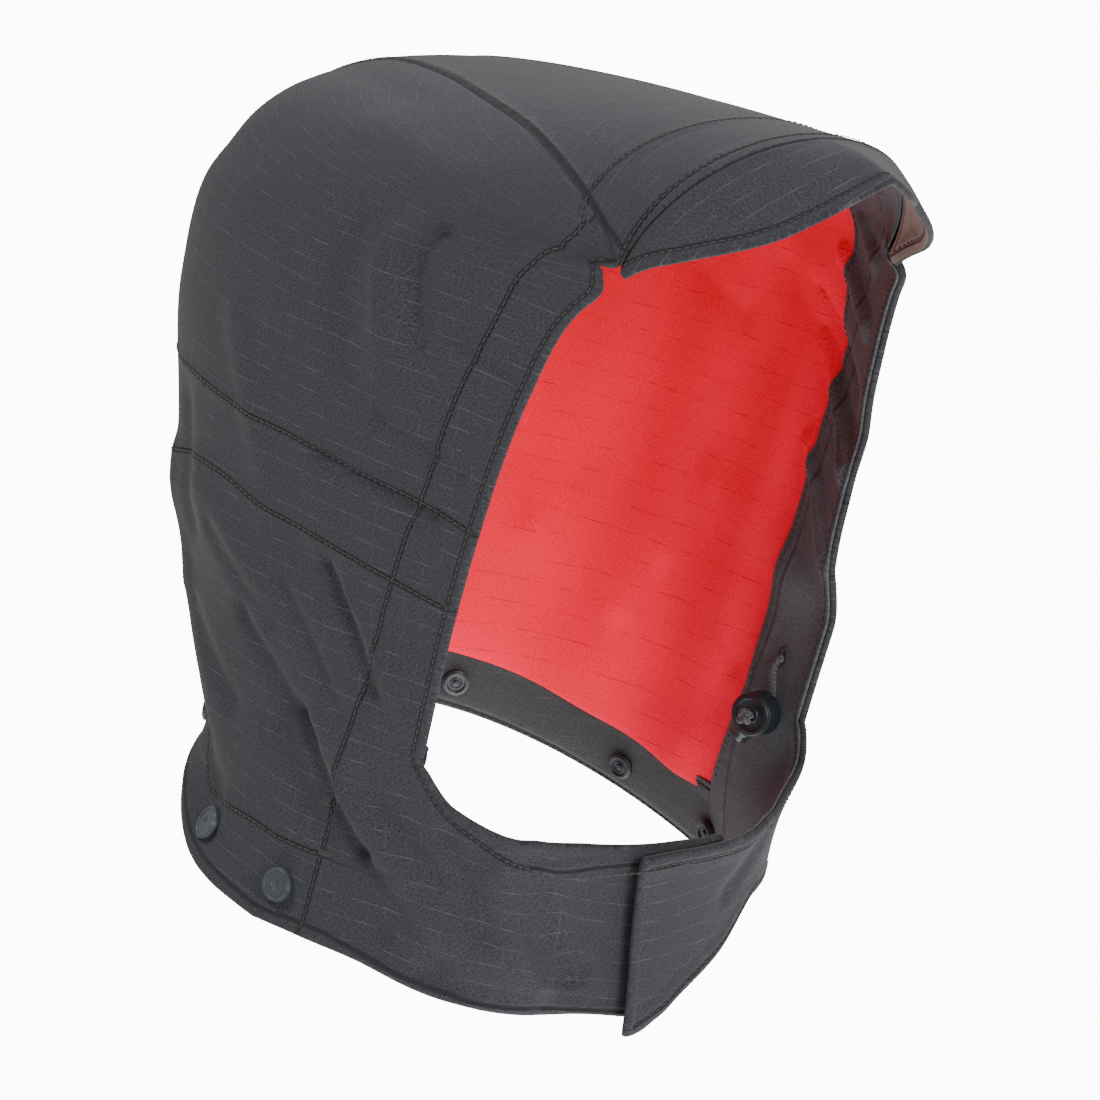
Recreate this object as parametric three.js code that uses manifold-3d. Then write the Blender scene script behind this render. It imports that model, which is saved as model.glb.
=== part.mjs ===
// Detachable hood of a work jacket, in its worn shape: two side panels, a crown panel with a short peak,
// a red lining, dark facings round the face, a neck band with snaps, and an elastic cord with its lock at
// each side of the face. Millimetres, +Z up, the face looks along -Y, +X is the wearer's left.
import * as THREE from "three";
import { mergeVertices } from "three/addons/utils/BufferGeometryUtils.js";
import Module from "manifold-3d";

const wasm = await Module();
wasm.setup();

// Overall sizes of the hood
const HALF_WIDTH = 104; // centre to the outside of the cloth at the ears
const LENGTH = 260; // brow seam to the nape
const HEIGHT = 258; // side snaps to the top of the crown

// Cloth
const SHELL = 1.2; // outer cloth with its seam allowance
const LINING = 1.0; // lining, facing and neck band
const LAYER_GAP = 0.9; // between outer cloth and the facings and band behind it
const SEAM_GAP = 0.6; // between two pieces sewn edge to edge
const PATCH = 0.9; // one half of the touch-and-close patch
const PATCH_GAP = 0.6; // on each side of a patch

// Face edge, neck and peak
const FACING_WIDTH = 31;
const PEAK_LENGTH = 36; // brow seam to the edge, at the centre
const PEAK_THICKNESS = 2.4;
const TAB_REACH = 19; // the chin tab's end past the centre
const UNDER_REACH = 26; // the right band's end past the centre, under the tab
const PATCH_LENGTH = 38;

// Folds, as the deepest and widest one
const FOLD_DEPTH = 5;
const FOLD_WIDTH = 16;

// Snaps
const CAP_DIAMETER = 12.4;
const CAP_HEIGHT = 2.2;
const SOCKET_DIAMETER = 9.8;
const SOCKET_HEIGHT = 2.6;
const POST_DIAMETER = 2.6;
const SNAP_GAP = 0.8; // cloth to the nearest face of a snap

// Cord lock, cord and knot
const LOCK_DIAMETER = 16;
const LOCK_HEIGHT = 8.5;
const LOCK_STANDOFF = 5.2; // facing to the middle of the lock's back face
const LOCK_TILT = 18; // degrees that the lock leans to the face opening
const LOCK_TURN = 27; // degrees that its button points back from straight down the face edge
const CORD_DIAMETER = 2.4;
const CORD_HOLE = 3.1;
const BUTTON_DIAMETER = 6.4;
const BUTTON_OUT = 3.6; // how far the button stands out of the lock
const BUTTON_IN = 2.0; // how far it sits in the lock at rest
const BUTTON_TRAVEL = 2.4;
const BUTTON_CLEARANCE = 0.3;
const KNOT_DIAMETER = 6.2;
const KNOT_GAP = 0.4;

// Cross-sections of the outer cloth, from the hem up over the crown to the brow seam. Each lies in a plane
// through a back point and a front point: y is a share of LENGTH, z of HEIGHT, width of HALF_WIDTH. widest is
// how far along the section is widest, the two powers say how square its back and front are, and sag is a
// share of HEIGHT by which its middle hangs below the plane.
const SECTIONS = [
  {
    name: "hem", backY: 0.23, backZ: 0.1, frontY: -0.51, frontZ: -0.275,
    width: 1.045, widest: 0.53, backPower: 2.12, frontPower: 1.72, sag: -0.03,
  },
  {
    name: "snap row", backY: 0.215, backZ: 0.14, frontY: -0.52, frontZ: -0.235,
    width: 1.0, widest: 0.53, backPower: 2.12, frontPower: 1.8, sag: -0.03,
  },
  {
    name: "band top", backY: 0.2, backZ: 0.23, frontY: -0.545, frontZ: -0.105,
    width: 0.955, widest: 0.51, backPower: 2.15, frontPower: 2.0, sag: -0.025,
  },
  {
    name: "jaw", backY: 0.215, backZ: 0.335, frontY: -0.595, frontZ: 0.05,
    width: 0.955, widest: 0.48, backPower: 2.25, frontPower: 2.25, sag: -0.015,
  },
  {
    name: "cheek", backY: 0.24, backZ: 0.45, frontY: -0.665, frontZ: 0.225,
    width: 0.985, widest: 0.46, backPower: 2.3, frontPower: 2.35, sag: 0,
  },
  {
    name: "ear", backY: 0.255, backZ: 0.575, frontY: -0.74, frontZ: 0.4,
    width: 1.0, widest: 0.46, backPower: 2.3, frontPower: 2.25, sag: 0,
  },
  {
    name: "temple", backY: 0.255, backZ: 0.73, frontY: -0.8, frontZ: 0.55,
    width: 1.0, widest: 0.46, backPower: 2.3, frontPower: 2.1, sag: 0,
  },
  {
    name: "crown back", backY: 0.195, backZ: 0.9, frontY: -0.83, frontZ: 0.635,
    width: 0.965, widest: 0.46, backPower: 2.2, frontPower: 2.1, sag: 0,
  },
  {
    name: "crown top", backY: -0.01, backZ: 1.0, frontY: -0.82, frontZ: 0.665,
    width: 0.885, widest: 0.5, backPower: 2.15, frontPower: 2.1, sag: 0,
  },
  {
    name: "crown front", backY: -0.4, backZ: 0.968, frontY: -0.74, frontZ: 0.69,
    width: 0.765, widest: 0.57, backPower: 2.1, frontPower: 2.1, sag: 0,
  },
  {
    name: "brow", backY: -0.8, backZ: 0.908, frontY: -0.652, frontZ: 0.694,
    width: 0.611, widest: 0.736, backPower: 2.05, frontPower: 2.06, sag: 0,
  },
];
const BROW = SECTIONS.length - 1;
const CROWN_TOP = SECTIONS.findIndex((section) => section.name === "crown top");
const SNAP_ROW = SECTIONS.findIndex((section) => section.name === "snap row");

// Lines on the cloth: level is a place in SECTIONS, turn is degrees round a section from the middle of the back
const FACE_EDGE = [
  { level: 2.9, turn: 121 },
  { level: 4.0, turn: 123.5 },
  { level: 5.0, turn: 125.5 },
  { level: 6.2, turn: 129.5 },
  { level: 7.5, turn: 132 },
  { level: 8.8, turn: 125 },
  { level: 9.2, turn: 117 },
  { level: 9.6, turn: 107 },
  { level: 10, turn: 96 },
];
const CROWN_SEAM = [
  { level: 0, turn: 15 },
  { level: 3, turn: 15 },
  { level: 6, turn: 13 },
  { level: 8.1, turn: 13 },
  { level: 8.5, turn: 21 },
  { level: 8.8, turn: 33 },
  { level: 9.1, turn: 46 },
  { level: 9.35, turn: 61 },
  { level: 9.6, turn: 76 },
  { level: 9.9, turn: 90.5 },
  { level: 10, turn: 96 },
];
const CHIN_TOP = [
  { turn: 121, level: 2.9 },
  { turn: 129, level: 2.6 },
  { turn: 145, level: 2.44 },
  { turn: 165, level: 2.42 },
  { turn: 180, level: 2.42 },
  { turn: 195, level: 2.36 },
];
// How far the hem rises above level 0, in levels, at each side
const HEM = [
  { turn: 50, right: 0, left: 0 },
  { turn: 70, right: -0.3, left: 0 },
  { turn: 88, right: 0.05, left: 0 },
  { turn: 103, right: 0.5, left: 0.3 },
  { turn: 115, right: 0.65, left: 0.9 },
  { turn: 135, right: 0.15, left: 1.7 },
  { turn: 150, right: 0, left: 1.75 },
  { turn: 163, right: 0.1, left: 1.35 },
  { turn: 175, right: 0, left: 0.95 },
  { turn: 190, right: 0, left: -0.4 },
  { turn: 206, right: 0, left: -0.6 },
];
const HEM_TOP = 2.42; // the hem's rise fades out up to here
const JAW_LEVEL = FACE_EDGE[0].level;
const JAW_TURN = FACE_EDGE[0].turn;
const BAND_LEVEL = 1.65; // top of the neck band inside
const BAND_TURN = 96; // the neck band's ends, sewn to the facings
const TEMPLE_LEVEL = 9.82; // the side panels end here, at the peak's corners
const LINING_LEVEL = 9.45; // the side linings end here, at the brow facing
const BROW_FACING_LEVEL = 9.66; // the brow facing's rear edge at the centre
const UNDER_START = 138; // the right band starts to go under the tab
const UNDER_FULL = 160;

// Folds and dents: from one place on the cloth to another, depth in FOLD_DEPTH (less than 0 is a valley) and
// width in FOLD_WIDTH. side is -1 on the wearer's right, 1 on the left, 0 on both.
const FOLDS = [
  { name: "long fold by the temple", side: -1, from: [101, 7.3], to: [108, 5.9], depth: 0.55, width: 0.8 },
  { name: "crease behind it", side: -1, from: [94, 7.2], to: [100, 5.8], depth: -0.4, width: 0.7 },
  { name: "cheek crease", side: -1, from: [101, 5.2], to: [119, 5.0], depth: -0.3, width: 0.8 },
  { name: "jaw crease", side: -1, from: [93, 4.2], to: [110, 3.7], depth: -0.4, width: 0.8 },
  { name: "neck fold", side: -1, from: [70, 4.3], to: [88, 3.6], depth: 0.5, width: 1.0 },
  { name: "chin band crease", side: -1, from: [92, 2.6], to: [118, 0.9], depth: -0.65, width: 0.8 },
  { name: "chin band ridge", side: -1, from: [101, 2.9], to: [127, 1.1], depth: 0.5, width: 0.9 },
  { name: "nape bulge", side: -1, from: [40, 3.3], to: [66, 2.3], depth: 0.9, width: 1.4 },
  { name: "nape dent", side: -1, from: [45, 1.6], to: [66, 1.35], depth: -0.7, width: 0.9 },
  { name: "nape ridge", side: 0, from: [25, 4.3], to: [60, 4.0], depth: 0.5, width: 1.0 },
  { name: "crown pucker", side: 0, from: [20, 7.9], to: [42, 8.5], depth: -0.25, width: 0.9 },
  { name: "left cheek fold", side: 1, from: [100, 6.6], to: [122, 5.4], depth: 0.6, width: 0.9 },
  { name: "left jaw fold", side: 1, from: [92, 4.4], to: [112, 3.9], depth: -0.5, width: 0.9 },
  { name: "left jaw bulge", side: 1, from: [124, 3.7], to: [124, 2.7], depth: 1.5, width: 1.7 },
];

// The peak, from the centre to the temple: reach is a share of PEAK_LENGTH, droop is degrees below level
const PEAK_OUTLINE = [
  { at: 0, reach: 1.0, droop: 20 },
  { at: 0.3, reach: 0.93, droop: 45 },
  { at: 0.6, reach: 0.6, droop: 60 },
  { at: 0.85, reach: 0.23, droop: 62 },
  { at: 1, reach: 0.04, droop: 64 },
];
const PEAK_ARCH = 0.05; // how far the peak bows up between seam and edge, as a share of its reach

// Snaps, from the middle of the back to each side, as shares of half the snap row's length
const SNAPS = [0, 0.178, 0.388, 0.53];

// The cord's way from the buttonhole to the knot. up is from the lock towards the crown along the face edge
// and out is away from the facing, both in mm; the last points run through the lock.
const CORD_ROUTE = [
  { up: 20.0, out: 0.9 },
  { up: 19.9, out: 1.9 },
  { up: 19.3, out: 3.0 },
  { up: 18.0, out: 3.8 },
  { up: 15.6, out: 4.0 },
  { up: 12.6, out: 3.4 },
  { up: 9.6, out: 2.6 },
  { up: 6.9, out: 2.0 },
  { up: 4.3, out: 1.9 },
  { up: 2.4, out: 2.5 },
  { up: 1.0, out: 3.7 },
  { up: 0.2, out: 5.3 },
];
const CORD_TAIL = 4.2; // the cord between the lock's front face and the knot's middle
const LOCK_LEVEL = 2.84;
const LOCK_INSET = 13.5; // face edge to the lock's axis

const DEG = Math.PI / 180;
const clamp = THREE.MathUtils.clamp;
const smooth = THREE.MathUtils.smoothstep;
const mix = THREE.MathUtils.lerp;

// Catmull-Rom through evenly numbered values, straight on past the first
function through(values, at) {
  if (at < 0) return values[0] + at * (values[1] - values[0]);
  const last = values.length - 1;
  const i = Math.min(Math.floor(at), last - 1);
  const f = Math.min(at, last) - i;
  const b = values[i];
  const c = values[i + 1];
  const a = i > 0 ? values[i - 1] : 2 * b - c;
  const d = i + 2 <= last ? values[i + 2] : 2 * c - b;
  return 0.5 * (2 * b + (c - a) * f + (2 * a - 5 * b + 4 * c - d) * f * f + (3 * b - a - 3 * c + d) * f ** 3);
}

// A value of one column of a table, at a place in another column, smooth and without overshoot
function lookUp(table, column, key, at) {
  const last = table.length - 1;
  const x = clamp(at, table[0][key], table[last][key]);
  let i = 0;
  while (i < last - 1 && x > table[i + 1][key]) i += 1;
  const slope = (k) => (table[k + 1][column] - table[k][column]) / (table[k + 1][key] - table[k][key]);
  const tangent = (k) => {
    if (k === 0) return slope(0);
    if (k === last) return slope(last - 1);
    const [before, after] = [slope(k - 1), slope(k)];
    return before * after <= 0 ? 0 : (2 * before * after) / (before + after);
  };
  const step = table[i + 1][key] - table[i][key];
  const f = (x - table[i][key]) / step;
  const [p, q] = [table[i][column], table[i + 1][column]];
  const [u, v] = [tangent(i) * step, tangent(i + 1) * step];
  return p + f * u + f * f * (3 * (q - p) - 2 * u - v) + f ** 3 * (2 * (p - q) + u + v);
}

const column = (name) => SECTIONS.map((section) => section[name]);
const SIZES = ["backY", "backZ", "frontY", "frontZ", "width", "widest", "backPower", "frontPower", "sag"];
const COLUMNS = SIZES.map((name) => [name, column(name)]);

// A point of the outer cloth without its folds. turn is positive on the wearer's left.
function plainPoint(turn, level) {
  const hem = lookUp(HEM, turn > 0 ? "left" : "right", "turn", Math.abs(turn));
  const rise = hem * Math.max(0, 1 - level / HEM_TOP);
  const at = Object.fromEntries(COLUMNS.map(([name, values]) => [name, through(values, level + rise)]));
  const [sin, cos] = [Math.sin(turn * DEG), Math.cos(turn * DEG)];
  const power = cos > 0 ? at.backPower : at.frontPower;
  const across = Math.sign(sin) * Math.abs(sin) ** (2 / power);
  const along = Math.abs(cos) ** (2 / power);
  const share = cos > 0 ? at.widest * (1 - along) : at.widest + (1 - at.widest) * along;
  const sag = 4 * share * (1 - share) * at.sag;
  return new THREE.Vector3(
    HALF_WIDTH * at.width * across,
    LENGTH * (at.backY + (at.frontY - at.backY) * share),
    HEIGHT * (at.backZ + (at.frontZ - at.backZ) * share + sag),
  );
}

// The unit normal of a surface, pointing out of the hood
function normalOf(surface, a, b, lowest, highest) {
  const [da, db] = [0.6, 0.03];
  const [b0, b1] = [Math.max(b - db, lowest), Math.min(b + db, highest)];
  const round = surface(a + da, b).sub(surface(a - da, b));
  const up = surface(a, b1).sub(surface(a, b0));
  return up.cross(round).normalize();
}

// A fold's crest as short straight stretches on the cloth
const CREST_STEPS = 4;
function crestOf(fold, side) {
  return Array.from({ length: CREST_STEPS + 1 }, (_, i) => {
    const f = i / CREST_STEPS;
    return plainPoint(side * mix(fold.from[0], fold.to[0], f), mix(fold.from[1], fold.to[1], f));
  });
}
const CRESTS = FOLDS.flatMap((fold) =>
  (fold.side ? [fold.side] : [-1, 1]).map((side) => ({
    points: crestOf(fold, side),
    depth: fold.depth * FOLD_DEPTH,
    width: fold.width * FOLD_WIDTH,
  })),
);

// How far the folds lift a point of the cloth
function foldHeight(point) {
  let height = 0;
  for (const { points, depth, width } of CRESTS) {
    let best = Infinity;
    for (let i = 0; i < CREST_STEPS; i += 1) {
      const line = new THREE.Line3(points[i], points[i + 1]);
      best = Math.min(best, line.closestPointToPoint(point, true, new THREE.Vector3()).distanceTo(point));
    }
    if (best < 2 * width) height += depth * Math.exp(-((best / width) ** 2) * 2);
  }
  return height;
}

// A point of the outer cloth with its folds
function clothPoint(turn, level) {
  const point = plainPoint(turn, level);
  return point.addScaledVector(normalOf(plainPoint, turn, level, -1, BROW), foldHeight(point));
}

const clothNormal = (turn, level) => normalOf(clothPoint, turn, level, -1, BROW);
const faceEdge = (level) => lookUp(FACE_EDGE, "turn", "level", level);
const crownSeam = (level) => lookUp(CROWN_SEAM, "turn", "level", level);
const chinTop = (turn) => lookUp(CHIN_TOP, "level", "turn", turn);

// Degrees of turn that span a length of cloth at a place
function degreesOf(length, turn, level) {
  return length / plainPoint(turn + 0.5, level).distanceTo(plainPoint(turn - 0.5, level));
}

// The turn that lies a length of cloth behind the face edge
function behindFaceEdge(length, level) {
  let turn = faceEdge(level);
  for (let left = length; left > 0; left -= 1) turn -= degreesOf(Math.min(left, 1), turn, level);
  return turn;
}

const shares = (steps) => Array.from({ length: steps + 1 }, (_, i) => i / steps);

// Where a facing meets the lining, and below it the neck band
const facingEdge = (level) => Math.max(behindFaceEdge(FACING_WIDTH, level), crownSeam(level));
function rearLine(level) {
  if (level >= JAW_LEVEL) return facingEdge(level);
  return mix(BAND_TURN, facingEdge(JAW_LEVEL), clamp((level - BAND_LEVEL) / (JAW_LEVEL - BAND_LEVEL), 0, 1));
}
const frontLine = (level) => (level < JAW_LEVEL ? JAW_TURN : faceEdge(level));

// Levels from low to high, about a length of cloth apart at the crown seam
function levelsBetween(low, high, spacing) {
  const points = shares(40).map((f) => plainPoint(crownSeam(mix(low, high, f)), mix(low, high, f)));
  let length = 0;
  for (let i = 1; i < points.length; i += 1) length += points[i].distanceTo(points[i - 1]);
  return shares(Math.max(1, Math.round(length / spacing))).map((f) => mix(low, high, f));
}

// Triangles between two rows of vertices, which may differ in number
function between(low, high) {
  const faces = [];
  for (let i = 0, j = 0; i + 1 < low.length || j + 1 < high.length; ) {
    const lowIsBehind = (i + 1) * (high.length - 1) <= (j + 1) * (low.length - 1);
    const onLow = j + 1 >= high.length || (i + 1 < low.length && lowIsBehind);
    faces.push(onLow ? [low[i], high[j], low[i + 1]] : [low[i], high[j], high[j + 1]]);
    if (onLow) i += 1;
    else j += 1;
  }
  return faces;
}

// A closed wall between two depths below a surface. Each grid is rows of [a, b] places on it, and places that
// grids share are one vertex. shift(a, b) moves a place further inwards.
function wall(surface, lowest, highest, grids, outer, inner, shift = () => 0) {
  const index = new Map();
  const points = [];
  const faces = [];
  const idOf = ([a, b]) => {
    const key = a.toFixed(3) + " " + b.toFixed(4);
    if (!index.has(key)) {
      index.set(key, points.length / 2);
      const point = surface(a, b);
      const normal = normalOf(surface, a, b, lowest, highest);
      const deep = shift(a, b);
      points.push(point.clone().addScaledVector(normal, -outer - deep));
      points.push(point.clone().addScaledVector(normal, -inner - deep));
    }
    return index.get(key);
  };
  for (const grid of grids) {
    const ids = grid.map((row) => row.map(idOf));
    const sheet = ids.slice(1).flatMap((row, r) => between(ids[r], row));
    const runsRight = grid[0].at(-1)[0] < grid[0][0][0];
    faces.push(...(runsRight ? sheet.map((face) => face.reverse()) : sheet));
  }
  const open = new Map();
  for (const face of faces)
    face.forEach((p, i) => {
      const q = face[(i + 1) % 3];
      if (!open.delete(q + " " + p)) open.set(p + " " + q, [p, q]);
    });
  const triangles = faces.flatMap(([p, q, s]) => [2 * p, 2 * q, 2 * s, 2 * p + 1, 2 * s + 1, 2 * q + 1]);
  for (const [p, q] of open.values()) triangles.push(2 * p, 2 * p + 1, 2 * q, 2 * q, 2 * p + 1, 2 * q + 1);
  const geometry = new THREE.BufferGeometry();
  const numbers = points.flatMap((point) => point.toArray());
  geometry.setAttribute("position", new THREE.Float32BufferAttribute(numbers, 3));
  geometry.setIndex(triangles);
  return geometry;
}

const clothWall = (grids, outer, inner, shift) => wall(clothPoint, -1, BROW, grids, outer, inner, shift);

// All layers of cloth share their rows and columns, so that their facets lie side by side
const SPACING = 17.5;
const BAND_LEVELS = levelsBetween(0, BAND_LEVEL, 11);
const JAW_LEVELS = levelsBetween(BAND_LEVEL, JAW_LEVEL, SPACING);
const FACE_LEVELS = levelsBetween(JAW_LEVEL, LINING_LEVEL, SPACING);
const TEMPLE_LEVELS = levelsBetween(LINING_LEVEL, TEMPLE_LEVEL, SPACING);
const joined = (...lists) => lists.flatMap((list, i) => (i ? list.slice(1) : list));

// A row of places round the hood at one level, drawn in at both ends by a length of cloth
function rowOf(start, end, level, drawnIn = [0, 0]) {
  const steps = Math.max(1, Math.round((end - start) / degreesOf(SPACING, (start + end) / 2, level)));
  const [a, b] = [start + degreesOf(drawnIn[0], start, level), end - degreesOf(drawnIn[1], end, level)];
  if (b - a < degreesOf(SEAM_GAP, end, level)) return [[(a + b) / 2, level]];
  return shares(steps).map((f) => [mix(a, b, f), level]);
}

// Levels with the first and the last drawn in by half a seam gap, to leave a seam along a row
const levelStep = (level) => SEAM_GAP / 2 / plainPoint(90, level + 0.5).distanceTo(plainPoint(90, level - 0.5));
const afterSeam = (levels) => [levels[0] + levelStep(levels[0]), ...levels.slice(1)];
const toSeam = (levels) => [...levels.slice(0, -1), levels.at(-1) - levelStep(levels.at(-1))];

// Half a seam gap at the crown seam, measured along a row, which the seam crosses at a slant
function seamInset(level) {
  const [low, high] = [Math.max(level - 0.05, 0), Math.min(level + 0.05, BROW)];
  const along = plainPoint(crownSeam(high), high).sub(plainPoint(crownSeam(low), low));
  const round = plainPoint(crownSeam(level) + 1, level).sub(plainPoint(crownSeam(level) - 1, level));
  return SEAM_GAP / 2 / Math.max(0.3, Math.sin(along.angleTo(round)));
}

// Mirrors a grid to the wearer's right
const toRight = (grid) => grid.map((row) => row.map(([turn, level]) => [-turn, level]));
const gridsFor = (side, grids) => (side > 0 ? grids : grids.map(toRight));

// How far the right band goes in under the chin tab
const UNDER_DEPTH = SHELL + LAYER_GAP + LINING + 2 * PATCH + 3 * PATCH_GAP;
const underTab = (turn) => UNDER_DEPTH * smooth(-turn, UNDER_START, UNDER_FULL);

const CHIN_COLUMNS = 9;

// The turn that reaches a length of cloth past the centre of the chin
const chinEnd = (length) => 180 + degreesOf(length, 180 + length / 4, 2);

// A chin band from the jaw to its end
function chinGrid(end, levels) {
  const turns = shares(CHIN_COLUMNS).map((f) => mix(JAW_TURN, end, f));
  return levels.map((level) => turns.map((turn) => [turn, (chinTop(turn) * level) / JAW_LEVEL]));
}

const chinEndOf = (side) => chinEnd(side > 0 ? TAB_REACH : UNDER_REACH);

// Rows from the lining's end up to the temple, where the facing reaches the crown seam
const templeRows = (drawnIn) =>
  TEMPLE_LEVELS.map((level) => rowOf(crownSeam(level), faceEdge(level), level, [seamInset(level) + drawnIn, 0]));

// Side panel with its end of the chin band
function sidePanel(side) {
  const low = joined(BAND_LEVELS, JAW_LEVELS);
  const high = joined(low, FACE_LEVELS);
  const rear = high.slice(0, -1).map((level) => rowOf(crownSeam(level), rearLine(level), level, [seamInset(level), 0]));
  const front = high.slice(0, -1).map((level) => rowOf(rearLine(level), frontLine(level), level));
  const temple = templeRows(0);
  const chin = chinGrid(chinEndOf(side), low);
  const grids = gridsFor(side, [[...rear, [temple[0][0]]], [...front, ...temple], chin]);
  return clothWall(grids, 0, SHELL, side > 0 ? undefined : underTab);
}

// The level of the brow facing's rear edge at a share of the crown panel's half width
const browFacingLevel = (u) => mix(BROW_FACING_LEVEL, LINING_LEVEL, u * u);

// A row of the crown panel, bent so that the row at the lining's end lies along the brow facing
function crownRow(level) {
  const onBrow = (BROW - level) / (BROW - LINING_LEVEL);
  const bend = level < LINING_LEVEL ? smooth(level, LINING_LEVEL - 2, LINING_LEVEL) : onBrow;
  const half = crownSeam(level);
  return rowOf(-half, half, level, [seamInset(level), seamInset(level)]).map(([turn]) => [
    turn,
    level + bend * (browFacingLevel(turn / half) - LINING_LEVEL),
  ]);
}
const BROW_LEVELS = [...TEMPLE_LEVELS, BROW];

// Crown panel from the nape over the top to the brow seam
const crownPanel = () => clothWall([joined(BAND_LEVELS, JAW_LEVELS, FACE_LEVELS, BROW_LEVELS).map(crownRow)], 0, SHELL);

// A point of the peak: at runs from the right temple (-1) to the left (1), out from the seam (0) to the edge (1)
function peakPoint(at, out) {
  const root = clothPoint(at * faceEdge(BROW), BROW);
  const reach = PEAK_LENGTH * lookUp(PEAK_OUTLINE, "reach", "at", Math.abs(at));
  const droop = DEG * lookUp(PEAK_OUTLINE, "droop", "at", Math.abs(at));
  const forward = new THREE.Vector3(0, -Math.cos(droop), -Math.sin(droop));
  const bow = new THREE.Vector3(0, -Math.sin(droop), Math.cos(droop));
  const start = 2 * SEAM_GAP;
  return root
    .addScaledVector(forward, start + out * (reach - start))
    .addScaledVector(bow, PEAK_ARCH * reach * 4 * out * (1 - out));
}

const PEAK_COLUMNS = 18;
const PEAK_ROWS = 4;
const PEAK_CORNER = 0.89; // how near the temples the peak's cloth starts

function peak() {
  const point = (a, b) => peakPoint(a / 100, b);
  const grid = shares(PEAK_ROWS).map((out) => shares(PEAK_COLUMNS).map((f) => [100 * PEAK_CORNER * (2 * f - 1), out]));
  return wall(point, 0, 1, [grid], 0, PEAK_THICKNESS);
}

const INSIDE = SHELL + LAYER_GAP;
const INNER_FACE = INSIDE + LINING;
const innerWall = (grids, shift) => clothWall(grids, INSIDE, INNER_FACE, shift);
const HALF_SEAM = SEAM_GAP / 2;

// Side lining between the crown seam and the facing
function sideLining(side) {
  const levels = toSeam(afterSeam(joined(JAW_LEVELS, FACE_LEVELS)));
  const row = (level) => rowOf(crownSeam(level), rearLine(level), level, [seamInset(level), HALF_SEAM]);
  return innerWall(gridsFor(side, [levels.map(row)]));
}

const crownLining = () => innerWall([toSeam(afterSeam(joined(JAW_LEVELS, FACE_LEVELS))).map(crownRow)]);
const browFacing = () => innerWall([toSeam(afterSeam(BROW_LEVELS)).map(crownRow)]);

// Facing along the face edge, with the inside of the chin band below it
function facing(side) {
  const low = joined(BAND_LEVELS, JAW_LEVELS);
  const main = joined(low, FACE_LEVELS).slice(0, -1);
  const rows = main.map((level) => rowOf(rearLine(level), frontLine(level), level, [HALF_SEAM, 0]));
  const chin = chinGrid(chinEndOf(side), low);
  return innerWall(gridsFor(side, [[...rows, ...templeRows(SEAM_GAP)], chin]), side > 0 ? undefined : underTab);
}

// Neck band inside the hem, between the facings
function neckBand() {
  const side = toSeam(BAND_LEVELS).map((level) => rowOf(crownSeam(level), BAND_TURN, level, [0, HALF_SEAM]));
  const middle = side.map(([[turn, level]]) => rowOf(-turn, turn, level));
  return innerWall([side, middle, toRight(side)]);
}

// Touch-and-close patches: one half on the tab's inside, the other on the right band
function patch(depth) {
  const [start, end] = [-chinEnd(PATCH_LENGTH - TAB_REACH), -(180 - degreesOf(TAB_REACH - 4, 180, 2))];
  const rows = [0.35, 1.0, 1.7, 2.3].map((level) => shares(4).map((f) => [mix(start, end, f), level]));
  return clothWall([rows], depth, depth + PATCH);
}
const hookPatch = () => patch(INNER_FACE + PATCH_GAP);
const loopPatch = () => patch(INNER_FACE + 2 * PATCH_GAP + PATCH);

// A mesh on the cloth: its Z axis points out of the cloth along normal, its X axis towards the crown
function placed(mesh, point, normal, towards) {
  const up = towards.clone().addScaledVector(normal, -towards.dot(normal)).normalize();
  mesh.quaternion.setFromRotationMatrix(new THREE.Matrix4().makeBasis(up, normal.clone().cross(up), normal));
  mesh.position.copy(point);
  return mesh;
}

const upTheCloth = (turn, level) => plainPoint(turn, level + 0.05).sub(plainPoint(turn, level - 0.05));

// A turned shape round Z, from radius and height pairs
function lathe(profile, sides) {
  const points = profile.map(([r, z]) => new THREE.Vector2(r, z));
  return new THREE.LatheGeometry(points, sides).rotateX(Math.PI / 2);
}

const SNAP_SIDES = 10;

// Outer cap of a snap: a low button with a raised rim and a dimple
function capGeometry() {
  const [r, h] = [CAP_DIAMETER / 2, CAP_HEIGHT];
  const outside = [[0, 0], [0.86 * r, 0], [r, 0.45 * h], [0.9 * r, h]];
  return lathe([...outside, [0.72 * r, 0.82 * h], [0.2 * r, 0.86 * h], [0, 0.68 * h]], SNAP_SIDES);
}

// Inner half of a snap: a ring that the collar's half presses into, round a short post
function socketGeometry() {
  const [r, h, p] = [SOCKET_DIAMETER / 2, SOCKET_HEIGHT, POST_DIAMETER / 2];
  const ring = [[0, 0], [r, 0], [r, 0.7 * h], [0.86 * r, h], [0.6 * r, h], [0.55 * r, 0.4 * h]];
  return lathe([...ring, [p, 0.4 * h], [p, 0.85 * h], [0, 0.85 * h]], SNAP_SIDES);
}

// The turn at a share of half the snap row's length
function snapTurn(share) {
  const steps = 360;
  const points = shares(steps).map((f) => plainPoint(180 * f, SNAP_ROW));
  const lengths = [0];
  for (let i = 1; i <= steps; i += 1) lengths.push(lengths[i - 1] + points[i].distanceTo(points[i - 1]));
  return (180 * lengths.findIndex((length) => length >= share * lengths[steps])) / steps;
}

const finish = (name, color, roughness) => new THREE.MeshStandardMaterial({ name, color, roughness, metalness: 0 });
const PLASTIC = finish("snap plastic", 0x343c42, 0.4);

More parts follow.
